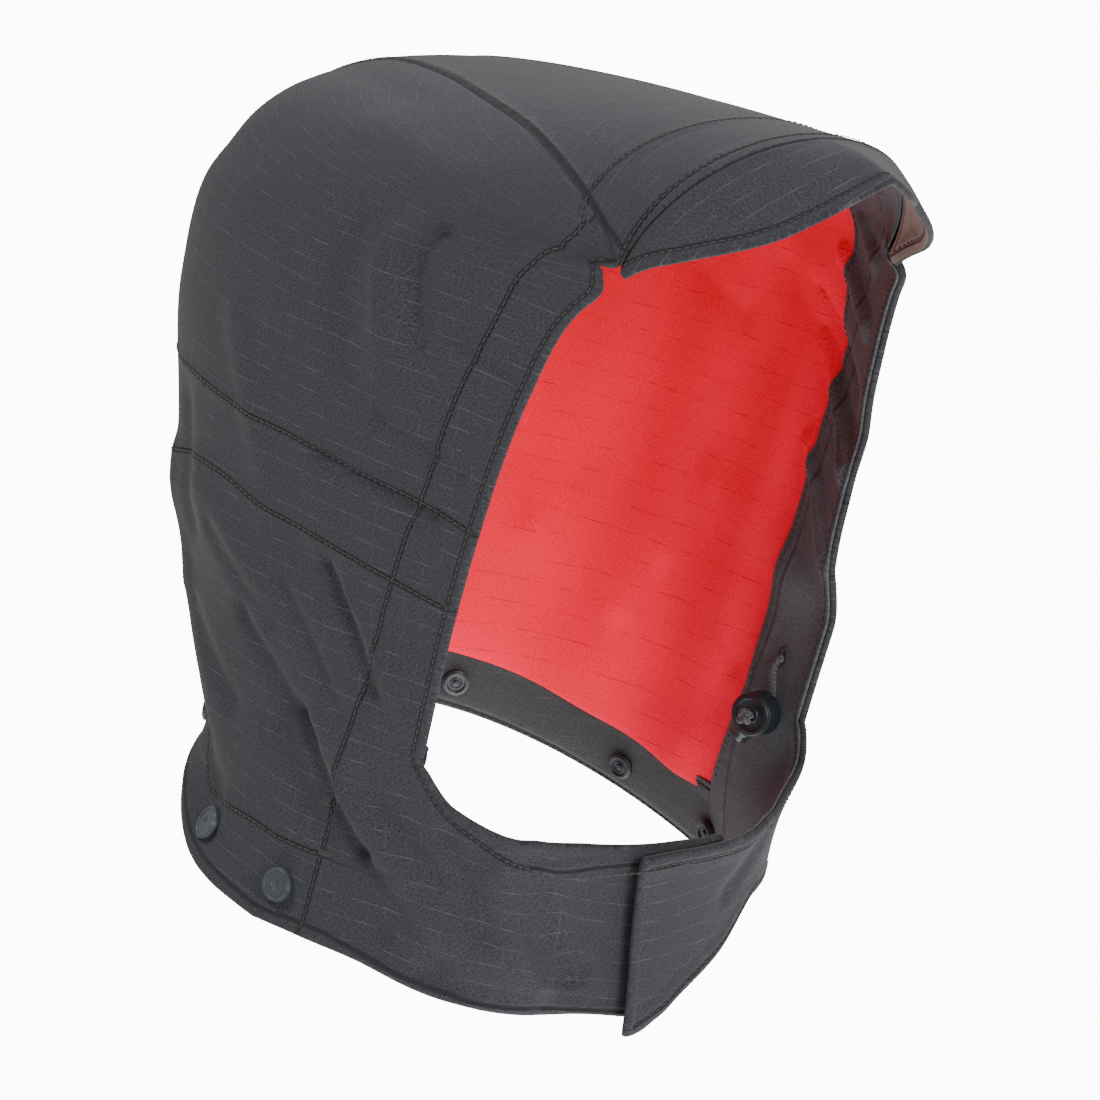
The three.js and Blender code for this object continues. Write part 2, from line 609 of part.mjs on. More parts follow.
// How far the cloth within a radius of a place stands out along a direction
function swell(turn, level, radius, direction) {
  const point = clothPoint(turn, level);
  const turns = degreesOf(radius, turn, level);
  const levels = radius / upTheCloth(turn, level).multiplyScalar(10).length();
  const angles = shares(12).map((f) => 2 * Math.PI * f);
  const around = angles.map((a) => clothPoint(turn + turns * Math.cos(a), level + levels * Math.sin(a)));
  return Math.max(0, ...around.map((place) => place.sub(point).dot(direction)));
}

function snaps() {
  const places = SNAPS.flatMap((share) => (share ? [-snapTurn(share), snapTurn(share)] : [0])).sort((a, b) => a - b);
  return places.flatMap((turn, i) => {
    const point = clothPoint(turn, SNAP_ROW);
    const out = clothNormal(turn, SNAP_ROW);
    const up = upTheCloth(turn, SNAP_ROW);
    const capGap = SNAP_GAP + swell(turn, SNAP_ROW, CAP_DIAMETER / 2, out);
    const socketGap = INNER_FACE + SNAP_GAP + swell(turn, SNAP_ROW, SOCKET_DIAMETER / 2, out.clone().negate());
    const cap = named("snap_cap_" + (i + 1), capGeometry(), PLASTIC);
    const socket = named("snap_socket_" + (i + 1), socketGeometry(), PLASTIC);
    placed(cap, point.clone().addScaledVector(out, capGap), out, up);
    placed(socket, point.clone().addScaledVector(out, -socketGap), out.clone().negate(), up);
    return [cap, socket];
  });
}

function solidOf(geometry) {
  const plain = geometry.index ? geometry.toNonIndexed() : geometry.clone();
  for (const name of Object.keys(plain.attributes)) if (name !== "position") plain.deleteAttribute(name);
  const merged = mergeVertices(plain, 1e-4);
  const vertProperties = merged.attributes.position.array;
  const triVerts = new Uint32Array(merged.index.array);
  return new wasm.Manifold(new wasm.Mesh({ numProp: 3, vertProperties, triVerts }));
}

function geometryOf(solid) {
  const mesh = solid.getMesh();
  return new THREE.BufferGeometry()
    .setAttribute("position", new THREE.BufferAttribute(mesh.vertProperties, 3))
    .setIndex(new THREE.BufferAttribute(mesh.triVerts, 1));
}

// Body of the cord lock: a round barrel with a hole for the cord along its axis (z) and a bore for the button
const LOCK_SIDES = 16;
function lockBodySolid() {
  const [r, h, hole] = [LOCK_DIAMETER / 2, LOCK_HEIGHT, CORD_HOLE / 2];
  const barrel = [[hole, 0], [0.6 * r, 0], [0.92 * r, 0.18 * h], [r, 0.45 * h], [r, 0.85 * h], [0.9 * r, h]];
  const face = [[0.72 * r, h], [0.62 * r, 0.88 * h], [hole, 0.88 * h], [hole, 0]];
  return solidOf(lathe([...barrel, ...face], LOCK_SIDES));
}

// The button, along -X of the lock, at the height of the bore
const BORE_HEIGHT = 0.5 * LOCK_HEIGHT;
function buttonGeometry(radius, inner, outer) {
  const [r, dome] = [radius, 0.22 * radius];
  return new THREE.LatheGeometry(
    [[0, inner], [r, inner], [r, outer - dome], [0.8 * r, outer], [0, outer]].map(([x, y]) => new THREE.Vector2(x, y)),
    14,
  )
    .rotateZ(Math.PI / 2)
    .translate(0, 0, BORE_HEIGHT);
}
const BUTTON_FOOT = LOCK_DIAMETER / 2 - BUTTON_IN;
const BUTTON_END = LOCK_DIAMETER / 2 + BUTTON_OUT;
const button = () => buttonGeometry(BUTTON_DIAMETER / 2, BUTTON_FOOT, BUTTON_END);
function buttonBore() {
  const radius = BUTTON_DIAMETER / 2 + BUTTON_CLEARANCE;
  return solidOf(buttonGeometry(radius, BUTTON_FOOT - BUTTON_TRAVEL - BUTTON_CLEARANCE, BUTTON_END));
}

// The lock's own frame on the facing: z out through the lock's front, x up along the face edge
function lockFrame(side) {
  const turn = side * behindFaceEdge(LOCK_INSET, LOCK_LEVEL);
  const inwards = clothNormal(turn, LOCK_LEVEL).negate();
  const up = upTheCloth(turn, LOCK_LEVEL);
  up.addScaledVector(inwards, -up.dot(inwards)).normalize();
  const foot = clothPoint(turn, LOCK_LEVEL).addScaledVector(inwards, INNER_FACE);
  const tilt = new THREE.Quaternion().setFromAxisAngle(up, side * LOCK_TILT * DEG);
  const axis = inwards.clone().applyQuaternion(tilt);
  const turned = up.clone().applyAxisAngle(axis, -side * LOCK_TURN * DEG);
  return { foot, inwards, up, axis, turned, back: foot.clone().addScaledVector(inwards, LOCK_STANDOFF) };
}

function cordGeometry(side) {
  const { foot, inwards, up, axis, back } = lockFrame(side);
  const along = (place) => foot.clone().addScaledVector(up, place.up).addScaledVector(inwards, place.out);
  const points = CORD_ROUTE.map(along);
  const front = LOCK_HEIGHT + CORD_TAIL - KNOT_DIAMETER / 2 - KNOT_GAP;
  for (const out of [0.25, 0.5, 0.75, 1]) points.push(back.clone().addScaledVector(axis, out * front));
  const path = new THREE.CatmullRomCurve3(points, false, "centripetal");
  const shape = new THREE.Shape().absarc(0, 0, CORD_DIAMETER / 2, 0, 2 * Math.PI);
  return new THREE.ExtrudeGeometry(shape, { steps: 16, curveSegments: 4, extrudePath: path, bevelEnabled: false });
}

function knotGeometry() {
  const r = KNOT_DIAMETER / 2;
  const upper = [[r, 0.25 * r], [0.6 * r, 0.8 * r], [0, r]];
  return lathe([[0, -r], [0.6 * r, -0.8 * r], [r, -0.25 * r], ...upper], 12);
}

const CORD = finish("elastic cord", 0x15171a, 0.8);

// Cord lock, its button, the cord and its knot. The hidden right lock is one plain piece with its button.
function cordLock(side, name) {
  const { turned, axis, back } = lockFrame(side);
  const body = lockBodySolid().subtract(buttonBore());
  const pieces = [];
  const atLock = (mesh) => placed(mesh, back, axis, turned);
  if (side > 0) {
    pieces.push(atLock(named("cord_lock_" + name, geometryOf(body), PLASTIC)));
    pieces.push(atLock(named("cord_lock_button_" + name, button(), PLASTIC)));
  } else {
    const fused = buttonGeometry(BUTTON_DIAMETER / 2, BUTTON_FOOT - BUTTON_TRAVEL, BUTTON_END);
    const plain = lockBodySolid().add(solidOf(fused));
    pieces.push(atLock(named("cord_lock_" + name, geometryOf(plain), PLASTIC)));
  }
  pieces.push(named("elastic_cord_" + name, cordGeometry(side), CORD));
  const knot = named("cord_knot_" + name, knotGeometry(), CORD);
  pieces.push(placed(knot, back.clone().addScaledVector(axis, LOCK_HEIGHT + CORD_TAIL), axis, turned));
  return pieces;
}

function named(name, geometry, material) {
  const mesh = new THREE.Mesh(geometry, material);
  mesh.name = name;
  return mesh;
}

const SHELL_CLOTH = finish("slate ripstop", 0x4b4b4e, 0.85);
const FACING_CLOTH = finish("dark facing", 0x37363a, 0.85);
const RED_CLOTH = finish("red ripstop", 0xc81e2c, 0.7);
const PATCH_CLOTH = finish("touch and close", 0x4a443e, 1);

const hood = new THREE.Group();
hood.add(
  named("side_panel_right", sidePanel(-1), SHELL_CLOTH),
  named("side_panel_left", sidePanel(1), SHELL_CLOTH),
  named("crown_panel", crownPanel(), SHELL_CLOTH),
  named("peak", peak(), SHELL_CLOTH),
  named("lining_right", sideLining(-1), RED_CLOTH),
  named("lining_left", sideLining(1), RED_CLOTH),
  named("lining_crown", crownLining(), RED_CLOTH),
  named("facing_right", facing(-1), FACING_CLOTH),
  named("facing_left", facing(1), FACING_CLOTH),
  named("facing_brow", browFacing(), FACING_CLOTH),
  named("neck_band", neckBand(), FACING_CLOTH),
  named("chin_hook_patch", hookPatch(), PATCH_CLOTH),
  named("chin_loop_patch", loopPatch(), PATCH_CLOTH),
  ...snaps(),
  ...cordLock(1, "left"),
  ...cordLock(-1, "right"),
);

// The origin is where the top of the head bears on the lining
const head = clothPoint(0, CROWN_TOP).addScaledVector(clothNormal(0, CROWN_TOP), -INNER_FACE);
hood.position.copy(head).negate();

const part = new THREE.Group();
part.add(hood);
export default part;
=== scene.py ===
"""Looks of a detachable work-jacket hood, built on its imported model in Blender 4.5.

The cloth pieces repeat the part's own surface: cross-sections from the hem up over the crown to the brow,
with folds on it. A place on the cloth is a turn in degrees round a section from the middle of the back
(less than 0 on the wearer's right) and a level in the table of sections. Sizes are millimetres until a
mesh is made, and the face looks along -Y.
"""

import logging
import math
from dataclasses import dataclass
from enum import Enum
from functools import partial, reduce
from typing import Callable, Sequence

import bpy
import numpy as np
from mathutils import Matrix, Vector


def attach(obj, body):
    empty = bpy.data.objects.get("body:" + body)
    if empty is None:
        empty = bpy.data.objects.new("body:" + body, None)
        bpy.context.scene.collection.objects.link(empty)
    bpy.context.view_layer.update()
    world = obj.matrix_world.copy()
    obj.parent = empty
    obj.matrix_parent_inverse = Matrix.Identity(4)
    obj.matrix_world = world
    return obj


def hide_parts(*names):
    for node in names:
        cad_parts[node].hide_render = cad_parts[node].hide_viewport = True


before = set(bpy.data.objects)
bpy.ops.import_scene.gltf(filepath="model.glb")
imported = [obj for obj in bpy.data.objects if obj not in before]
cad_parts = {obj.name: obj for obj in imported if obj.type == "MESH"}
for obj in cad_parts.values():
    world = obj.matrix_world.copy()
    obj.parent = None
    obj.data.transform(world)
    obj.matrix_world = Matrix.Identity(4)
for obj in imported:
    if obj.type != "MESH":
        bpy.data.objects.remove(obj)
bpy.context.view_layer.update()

LOG = logging.getLogger("hood")
Numbers = np.ndarray
Places = tuple[np.ndarray, np.ndarray]
PlacePairs = tuple[tuple[float, float], ...]

# Overall sizes
HALF_WIDTH = 104.0
LENGTH = 260.0
HEIGHT = 258.0

# Cloth layers, as depths below the outside
SHELL = 1.2
INNER_FACE = 3.1
LINING_TOP = 1.9
LINING_FACE = 2.5
LINING_SWELL = 1.5
FACING_TOP = 2.3
FACING_FACE = 3.3
TURNED_EDGE = 2.2
UNDER_TAB = 6.7

# back y, back z, front y, front z, width, widest, back power, front power, sag
SECTIONS = np.array([
    (0.23, 0.1, -0.51, -0.275, 1.045, 0.53, 2.12, 1.72, -0.03),
    (0.215, 0.14, -0.52, -0.235, 1.0, 0.53, 2.12, 1.8, -0.03),
    (0.2, 0.23, -0.545, -0.105, 0.955, 0.51, 2.15, 2.0, -0.025),
    (0.215, 0.335, -0.595, 0.05, 0.955, 0.48, 2.25, 2.25, -0.015),
    (0.24, 0.45, -0.665, 0.225, 0.985, 0.46, 2.3, 2.35, 0),
    (0.255, 0.575, -0.74, 0.4, 1.0, 0.46, 2.3, 2.25, 0),
    (0.255, 0.73, -0.8, 0.55, 1.0, 0.46, 2.3, 2.1, 0),
    (0.195, 0.9, -0.83, 0.635, 0.965, 0.46, 2.2, 2.1, 0),
    (-0.01, 1.0, -0.82, 0.665, 0.885, 0.5, 2.15, 2.1, 0),
    (-0.4, 0.968, -0.74, 0.69, 0.765, 0.57, 2.1, 2.1, 0),
    (-0.8, 0.908, -0.652, 0.694, 0.611, 0.736, 2.05, 2.06, 0),
])
BROW = 10.0
GRAIN_LEVEL = 5.0
CROWN_TOP = 8.0
SNAP_ROW = 1.0

# Pairs of level and turn, or of turn and level for the chin's top
FACE_EDGE = (
    (2.9, 121), (4, 123.5), (5, 125.5), (6.2, 129.5), (7.5, 132), (8.8, 125), (9.2, 117), (9.6, 107), (10, 96),
)
CROWN_SEAM = (
    (0, 15), (3, 15), (6, 13), (8.1, 13), (8.5, 21), (8.8, 33), (9.1, 46), (9.35, 61), (9.6, 76), (9.9, 90.5),
    (10, 96),
)
CHIN_TOP = ((121, 2.9), (129, 2.6), (145, 2.44), (165, 2.42), (180, 2.42), (195, 2.36))
HEM_RIGHT = (
    (50, 0), (70, -0.3), (88, 0.05), (103, 0.5), (115, 0.65), (135, 0.15), (150, 0), (163, 0.1), (175, 0),
    (184, 0.3), (195, 1.2), (206, 1.9),
)
HEM_LEFT = (
    (50, 0), (88, 0), (103, 0.3), (115, 0.9), (135, 1.7), (150, 1.75), (163, 1.35), (175, 0.95), (190, -0.4),
    (206, -0.6),
)
HEM_TOP = 2.42
JAW_LEVEL = 2.9
JAW_TURN = 121.0
BAND_LEVEL = 1.65
BAND_TURN = 96.0
TIP_LEVEL = 9.96
LINING_LEVEL = 9.45
BROW_FACING_LEVEL = 9.66
FACING_WIDTH = 31.0
TAB_REACH = 19.0
UNDER_REACH = 26.0
PATCH_LENGTH = 38.0

# Folds: side, from turn and level, to turn and level, height and width in mm. Those of the solids come first.
FOLD_DEPTH = 5.0
FOLD_WIDTH = 16.0
FOLDS = (
    (-1, 101, 7.3, 108, 5.9, 0.55, 0.8),
    (-1, 94, 7.2, 100, 5.8, -0.4, 0.7),
    (-1, 101, 5.2, 119, 5.0, -0.3, 0.8),
    (-1, 93, 4.2, 110, 3.7, -0.4, 0.8),
    (-1, 70, 4.3, 88, 3.6, 0.5, 1.0),
    (-1, 92, 2.6, 118, 0.9, -0.65, 0.8),
    (-1, 101, 2.9, 127, 1.1, 0.5, 0.9),
    (-1, 40, 3.3, 66, 2.3, 0.9, 1.4),
    (-1, 45, 1.6, 66, 1.35, -0.7, 0.9),
    (0, 25, 4.3, 60, 4.0, 0.5, 1.0),
    (0, 20, 7.9, 42, 8.5, -0.25, 0.9),
    (1, 100, 6.6, 122, 5.4, 0.6, 0.9),
    (1, 92, 4.4, 112, 3.9, -0.5, 0.9),
    (1, 124, 3.7, 124, 2.7, 1.5, 1.7),
)

# Smaller creases that only the looks have, in mm, and how much deeper than the table they are made
CREASE_GAIN = 1.3
CREASES = (
    (-1, 103, 7.7, 111, 6.2, -2.4, 4.5),
    (-1, 99, 7.4, 105, 6.3, 1.2, 5.0),
    (-1, 96, 5.05, 117, 4.8, -2.0, 4.5),
    (-1, 106, 5.5, 121, 5.2, -1.6, 4.0),
    (-1, 112, 6.4, 125, 6.1, -1.3, 4.0),
    (-1, 99, 4.15, 110, 3.3, -2.4, 4.5),
    (-1, 104, 4.0, 115, 3.4, 1.4, 5.0),
    (-1, 92, 3.8, 104, 3.0, -1.6, 5.0),
    (-1, 95, 2.85, 112, 1.7, -2.6, 4.5),
    (-1, 112, 1.7, 131, 0.9, -2.2, 5.5),
    (-1, 106, 2.35, 122, 1.75, 1.8, 5.5),
    (-1, 114, 2.4, 128, 1.9, -1.4, 4.5),
    (-1, 128, 2.35, 139, 1.5, -1.8, 5.5),
    (-1, 139, 2.1, 152, 1.0, 1.8, 7.5),
    (-1, 146, 2.25, 158, 1.2, -1.8, 6.0),
    (-1, 120, 0.7, 134, 0.45, -1.4, 5.5),
    (-1, 83, 3.4, 97, 2.7, -1.9, 5.5),
    (-1, 78, 6.0, 88, 4.8, 1.2, 9.0),
    (-1, 60, 5.0, 64, 3.9, -1.5, 9.0),
    (-1, 50, 4.4, 55, 3.2, 1.4, 8.0),
    (-1, 58, 3.0, 76, 2.5, -1.6, 7.0),
    (-1, 74, 4.0, 90, 3.5, -1.5, 6.0),
    (-1, 30, 7.0, 60, 7.3, -0.9, 14.0),
    (-1, 60, 8.3, 80, 8.6, 0.9, 12.0),
    (1, 112, 7.2, 124, 6.4, -2.0, 4.5),
    (1, 108, 6.6, 122, 5.7, 1.8, 5.5),
    (1, 110, 6.0, 123, 5.0, -2.2, 4.5),
    (1, 110, 5.1, 122, 4.2, -1.8, 4.5),
    (1, 108, 8.2, 120, 7.5, -1.8, 5.0),
    (1, 75, 6.6, 92, 6.0, 1.5, 9.0),
    (1, 84, 3.4, 100, 3.0, 1.4, 8.0),
    (1, 52, 3.3, 70, 2.8, -1.5, 9.0),
    (1, 150, 2.1, 165, 1.4, -1.2, 6.0),
)

# The peak from its centre to the temple: place, reach and droop
PEAK_REACH = ((0, 1.0), (0.3, 0.93), (0.6, 0.6), (0.85, 0.23), (1, 0.04))
PEAK_DROOP = ((0, 20), (0.3, 45), (0.6, 60), (0.85, 62), (1, 64))
PEAK_LENGTH = 36.0
PEAK_ARCH = 0.05

# The cord's route in the part's source: up the face edge from the lock, and out from the facing
CORD_ROUTE = (
    (20.0, 0.9), (19.9, 1.9), (19.3, 3.0), (18.0, 3.8), (15.6, 4.0), (12.6, 3.4),
    (9.6, 2.6), (6.9, 2.0), (4.3, 1.9), (2.4, 2.5), (1.0, 3.7), (0.2, 5.3),
)
LOCK_LEVEL = 2.84
LOCK_INSET = 13.5

# Places across a row near its ends, in mm, where edges and seams need fine steps
END_STEPS = np.array([0, 0.6, 1.3, 2.1, 3.0, 4.2, 6.0])

# Lines of stitches, as turns and levels from one end to the other
EDGE_INSET = 3.0
UPPER_SEAM = (
    (20, 5.4), (40, 5.38), (62.7, 5.34), (74, 5.28), (84.2, 5.21), (93.3, 5.14), (100.5, 5.04), (113.4, 4.93),
    (124.8, 4.77),
)
LOWER_SEAM = (
    (20, 4.2), (51, 4.42), (71.2, 4.59), (78.6, 4.56), (89, 4.43), (100.1, 4.35), (110.6, 4.26),
    (122.5, 4.15),
)
FACING_SEAM = (
    (82.3, 9.52), (97, 9.25), (108.6, 8.91), (118, 7.9), (121.3, 6.88), (119.4, 6.12), (117.2, 5.56),
    (115.5, 5.16), (114.5, 4.93), (113.4, 4.66), (111.4, 4.07), (110, 3.74), (105.6, 2.77),
)
BAND_SEAM = ((30, 1.58), (50, 1.35), (62.1, 1.09), (71.7, 1.31), (86.9, 1.56), (102.4, 1.69))

# The thread, in mm, and its thickness and height over the cloth at places along a stitch
STITCH_PITCH = 2.9
STITCH_LENGTH = 2.35
THREAD_RADIUS = 0.26
STITCH_SHAPE = (
    (0.0, 0.45, -0.28), (0.14, 1.0, 0.02), (0.5, 1.12, 0.12), (0.86, 1.0, 0.02), (1.0, 0.45, -0.28),
)
WHIP_PITCH = 0.5

# Tops of the turned pieces: for each step how far the face is inset and how far it then moves up, in mm
CAP_STEPS = ((0.55, 0.45), (0.75, -0.3), (0.35, 0.0), (2.6, -0.25), (0.6, -0.2))
SOCKET_STEPS = (
    (0.5, 0.75), (0.75, 0.0), (0.25, -0.8), (0.9, 0.0), (0.3, 0.35), (0.35, -0.45), (0.45, 0.0), (0.2, 0.9),
)
BARREL_STEPS = ((0.7, 0.4), (1.1, 0.0), (0.4, -0.9), (2.6, 0.0), (0.5, 0.35), (0.75, -1.6))


def through(values: np.ndarray, at: np.ndarray) -> np.ndarray:
    """A smooth curve through evenly numbered values, straight on past the first.

    Args:
        values: One column of the sections.
        at: Places in it.

    Returns:
        The value at each place.
    """
    last = len(values) - 1
    i = np.clip(np.floor(at).astype(int), 0, last - 1)
    f = np.minimum(at, last) - i
    b, c = values[i], values[i + 1]
    a = np.where(i > 0, values[np.maximum(i - 1, 0)], 2 * b - c)
    d = np.where(i + 2 <= last, values[np.minimum(i + 2, last)], 2 * c - b)
    bent = 0.5 * (2 * b + (c - a) * f + (2 * a - 5 * b + 4 * c - d) * f**2 + (3 * b - a - 3 * c + d) * f**3)
    return np.where(at < 0, values[0] + at * (values[1] - values[0]), bent)


def look_up(table: Sequence[Sequence[float]], at: np.ndarray | float) -> np.ndarray:
    """A table's second column at places in its first, smooth and without overshoot.

    Args:
        table: Pairs of numbers, the first of each rising.
        at: Places in the first column.

    Returns:
        The value at each place.
    """
    keys, values = np.array(table, float).T
    x = np.clip(at, keys[0], keys[-1])
    i = np.searchsorted(keys[1:-1], x, side="left")
    slopes = np.diff(values) / np.diff(keys)
    before, after = slopes[:-1], slopes[1:]
    total = np.where(before + after == 0, 1, before + after)
    inner = np.where(before * after <= 0, 0, 2 * before * after / total)
    tangents = np.concatenate([slopes[:1], inner, slopes[-1:]])
    step = keys[i + 1] - keys[i]
    f = (x - keys[i]) / step
    p, q = values[i], values[i + 1]
    u, v = tangents[i] * step, tangents[i + 1] * step
    return p + f * u + f**2 * (3 * (q - p) - 2 * u - v) + f**3 * (2 * (p - q) + u + v)


def unit(vectors: np.ndarray) -> np.ndarray:
    """Vectors at length one."""
    return vectors / np.maximum(np.linalg.norm(vectors, axis=-1, keepdims=True), 1e-9)


def ramp(low: float, high: float, at: np.ndarray) -> np.ndarray:
    """A smooth step from 0 at low to 1 at high."""
    f = np.clip((at - low) / (high - low), 0, 1)
    return f * f * (3 - 2 * f)


def lengths_along(points: np.ndarray) -> np.ndarray:
    """The length from the first point of a line to each of its points."""
    return np.concatenate([[0.0], np.cumsum(np.linalg.norm(np.diff(points, axis=0), axis=1))])


def near_line(points: np.ndarray, line: np.ndarray) -> tuple[np.ndarray, np.ndarray, np.ndarray]:
    """How far points are from a line.

    Args:
        points: Any points.
        line: Points of the line in order.

    Returns:
        The distance, the vector from the line and the line's direction there.
    """
    best = np.full(len(points), np.inf)
    away = np.zeros_like(points)
    along = np.zeros_like(points)
    for a, b in zip(line[:-1], line[1:]):
        ab = b - a
        f = np.clip((points - a) @ ab / max(ab @ ab, 1e-9), 0, 1)
        gap = points - a - f[:, None] * ab
        length = np.linalg.norm(gap, axis=1)
        nearer = length < best
        best = np.where(nearer, length, best)
        away[nearer] = gap[nearer]
        along[nearer] = ab / max(np.linalg.norm(ab), 1e-9)
    return best, away, along


class Cloth:
    """The surface of the outer cloth as it sits on the head."""

    def __init__(self) -> None:
        """Lays out the crests of the folds and finds the part's origin."""
        self.crests: list[tuple[np.ndarray, float, float]] = []
        rows = [(*row[:5], row[5] * FOLD_DEPTH, row[6] * FOLD_WIDTH, 5) for row in FOLDS]
        rows += [(*row[:5], row[5] * CREASE_GAIN, row[6], 7) for row in CREASES]
        for side, turn0, level0, turn1, level1, height, width, count in rows:
            for sign in [side] if side else [-1, 1]:
                f = np.linspace(0, 1, count)
                line = self.plain(sign * (turn0 + (turn1 - turn0) * f), level0 + (level1 - level0) * f)
                self.crests.append((line, height, width))
        self.grain_turns = np.arange(0.0, 209.0, 4.0)
        self.grain_levels = np.linspace(-0.2, BROW, 103)
        self.grain = {sign: self.grain_table(sign) for sign in (-1, 1)}
        top = self.point(np.array([0.0]), np.array([CROWN_TOP]))
        self.origin = (top - INNER_FACE * self.normal(np.array([0.0]), np.array([CROWN_TOP])))[0]

    def plain(self, turn: np.ndarray, level: np.ndarray) -> np.ndarray:
        """Points of the cloth without its folds."""
        turn, level = np.broadcast_arrays(np.asarray(turn, float), np.asarray(level, float))
        hem = np.where(turn > 0, look_up(HEM_LEFT, np.abs(turn)), look_up(HEM_RIGHT, np.abs(turn)))
        at = level + hem * np.maximum(0, 1 - level / HEM_TOP)
        columns = [through(column, at) for column in SECTIONS.T]
        back_y, back_z, front_y, front_z, width, widest, back, front, sag = columns
        sin, cos = np.sin(np.radians(turn)), np.cos(np.radians(turn))
        power = np.where(cos > 0, back, front)
        across = np.sign(sin) * np.abs(sin) ** (2 / power)
        along = np.abs(cos) ** (2 / power)
        share = np.where(cos > 0, widest * (1 - along), widest + (1 - widest) * along)
        x = HALF_WIDTH * width * across
        y = LENGTH * (back_y + (front_y - back_y) * share)
        z = HEIGHT * (back_z + (front_z - back_z) * share + 4 * share * (1 - share) * sag)
        return np.stack([x, y, z], -1)

    def normal(self, turn: np.ndarray, level: np.ndarray, folded: bool = True) -> np.ndarray:
        """Unit normals of the cloth, pointing out of the hood."""
        surface = self.point if folded else self.plain
        low, high = np.maximum(level - 0.03, -1), np.minimum(level + 0.03, BROW)
        round_it = surface(turn + 0.6, level) - surface(turn - 0.6, level)
        up = surface(turn, high) - surface(turn, low)
        return unit(np.cross(up, round_it))

    def fold_height(self, points: np.ndarray) -> np.ndarray:
        """How far folds and creases lift points of the plain cloth."""
        flat = points.reshape(-1, 3)
        height = np.zeros(len(flat))
        for line, depth, width in self.crests:
            middle = line.mean(axis=0)
            reach = 2 * width + np.linalg.norm(line - middle, axis=1).max()
            near = np.nonzero(np.linalg.norm(flat - middle, axis=1) < reach)[0]
            if len(near):
                distance = near_line(flat[near], line)[0]
                height[near] += depth * np.exp(-2 * (distance / width) ** 2)
        return height.reshape(points.shape[:-1])

    def point(self, turn: np.ndarray, level: np.ndarray) -> np.ndarray:
        """Points of the cloth with its folds."""
        points = self.plain(turn, level)
        return points + self.normal(turn, level, folded=False) * self.fold_height(points)[..., None]

    def grain_table(self, sign: int) -> np.ndarray:
        """Lengths of cloth up from one level for each turn of one side, and on the chin band from the jaw."""
        columns = self.plain(sign * self.grain_turns[:, None], self.grain_levels[None, :])
        steps = np.linalg.norm(np.diff(columns, axis=1), axis=2)
        up = np.concatenate([np.zeros((len(self.grain_turns), 1)), np.cumsum(steps, axis=1)], axis=1)
        middle, jaw = np.searchsorted(self.grain_levels, (GRAIN_LEVEL, JAW_LEVEL))
        table = up - up[:, middle : middle + 1]
        last = int(JAW_TURN // 4)
        table[last:] = up[last:] - up[last:, jaw : jaw + 1] + table[last, jaw]
        return table

    def up_the_grain(self, turn: np.ndarray, level: np.ndarray) -> np.ndarray:
        """Lengths of cloth up from one level, in mm."""
        a = np.clip(np.abs(turn) / 4, 0, len(self.grain_turns) - 1.001)
        b = np.clip((level + 0.2) * 10, 0, len(self.grain_levels) - 1.001)
        i, j = a.astype(int), b.astype(int)
        f, g = a - i, b - j
        table = self.grain[-1 if np.median(turn) < 0 else 1]
        low = table[i, j] * (1 - g) + table[i, j + 1] * g
        high = table[i + 1, j] * (1 - g) + table[i + 1, j + 1] * g
        return low * (1 - f) + high * f

    def span(self, turn: float, level: float) -> float:
        """Length of one degree of turn at a place."""
        ends = self.plain(np.array([turn - 0.5, turn + 0.5]), np.array([level, level]))
        return float(np.linalg.norm(ends[1] - ends[0]))

    def rise(self, turn: float, low: float, high: float) -> np.ndarray:
        """The way up the cloth between two levels, for one level."""
        ends = self.plain(np.full(2, turn), np.array([low, high]))
        return (ends[1] - ends[0]) / (high - low)

    def behind_face_edge(self, length: float, level: float) -> float:
        """The turn that lies a length of cloth behind the face edge."""
        turn = float(look_up(FACE_EDGE, level))
        left = length
        while left > 0:
            turn -= min(left, 1.0) / self.span(turn, level)
            left -= 1.0
        return turn

    def chin_end(self, length: float) -> float:
        """The turn that reaches a length of cloth past the centre of the chin."""
        return 180 + length / self.span(180 + length / 4, 2)

    def to_part(self, points: np.ndarray) -> np.ndarray:
        """Points in metres in the part's frame."""
        return (points - self.origin) / 1000


CLOTH = Cloth()


def crown_seam(level: float) -> float:
    """Turn of the seam between side and crown panels."""
    return float(look_up(CROWN_SEAM, level))


def face_edge(level: float) -> float:
    """Turn of the face edge."""
    return float(look_up(FACE_EDGE, level))


def front_line(level: float) -> float:
    """Turn where a side panel ends in front, or where its chin band begins."""
    return JAW_TURN if level < JAW_LEVEL else face_edge(level)


def facing_front_line(level: float) -> float:
    """Turn where a facing ends, a little behind the face edge."""
    return front_line(level) - (0 if level < JAW_LEVEL else 0.35)


def facing_edge(level: float) -> float:
    """Turn of the facing's rear edge beside the face."""
    return max(CLOTH.behind_face_edge(FACING_WIDTH, level), crown_seam(level))


def rear_line(level: float) -> float:
    """Turn of the facing's rear edge at any level."""
    if level >= JAW_LEVEL:
        return facing_edge(level)
    f = min(max((level - BAND_LEVEL) / (JAW_LEVEL - BAND_LEVEL), 0), 1)
    return BAND_TURN + (facing_edge(JAW_LEVEL) - BAND_TURN) * f


def inside_rear_line(level: float) -> float:
    """Turn of the visible facing's rear edge, which widens towards the temple."""
    if level < 5:
        return rear_line(level)
    return CLOTH.behind_face_edge(FACING_WIDTH + 17 * float(ramp(5.5, 8.6, np.array(level))), level)


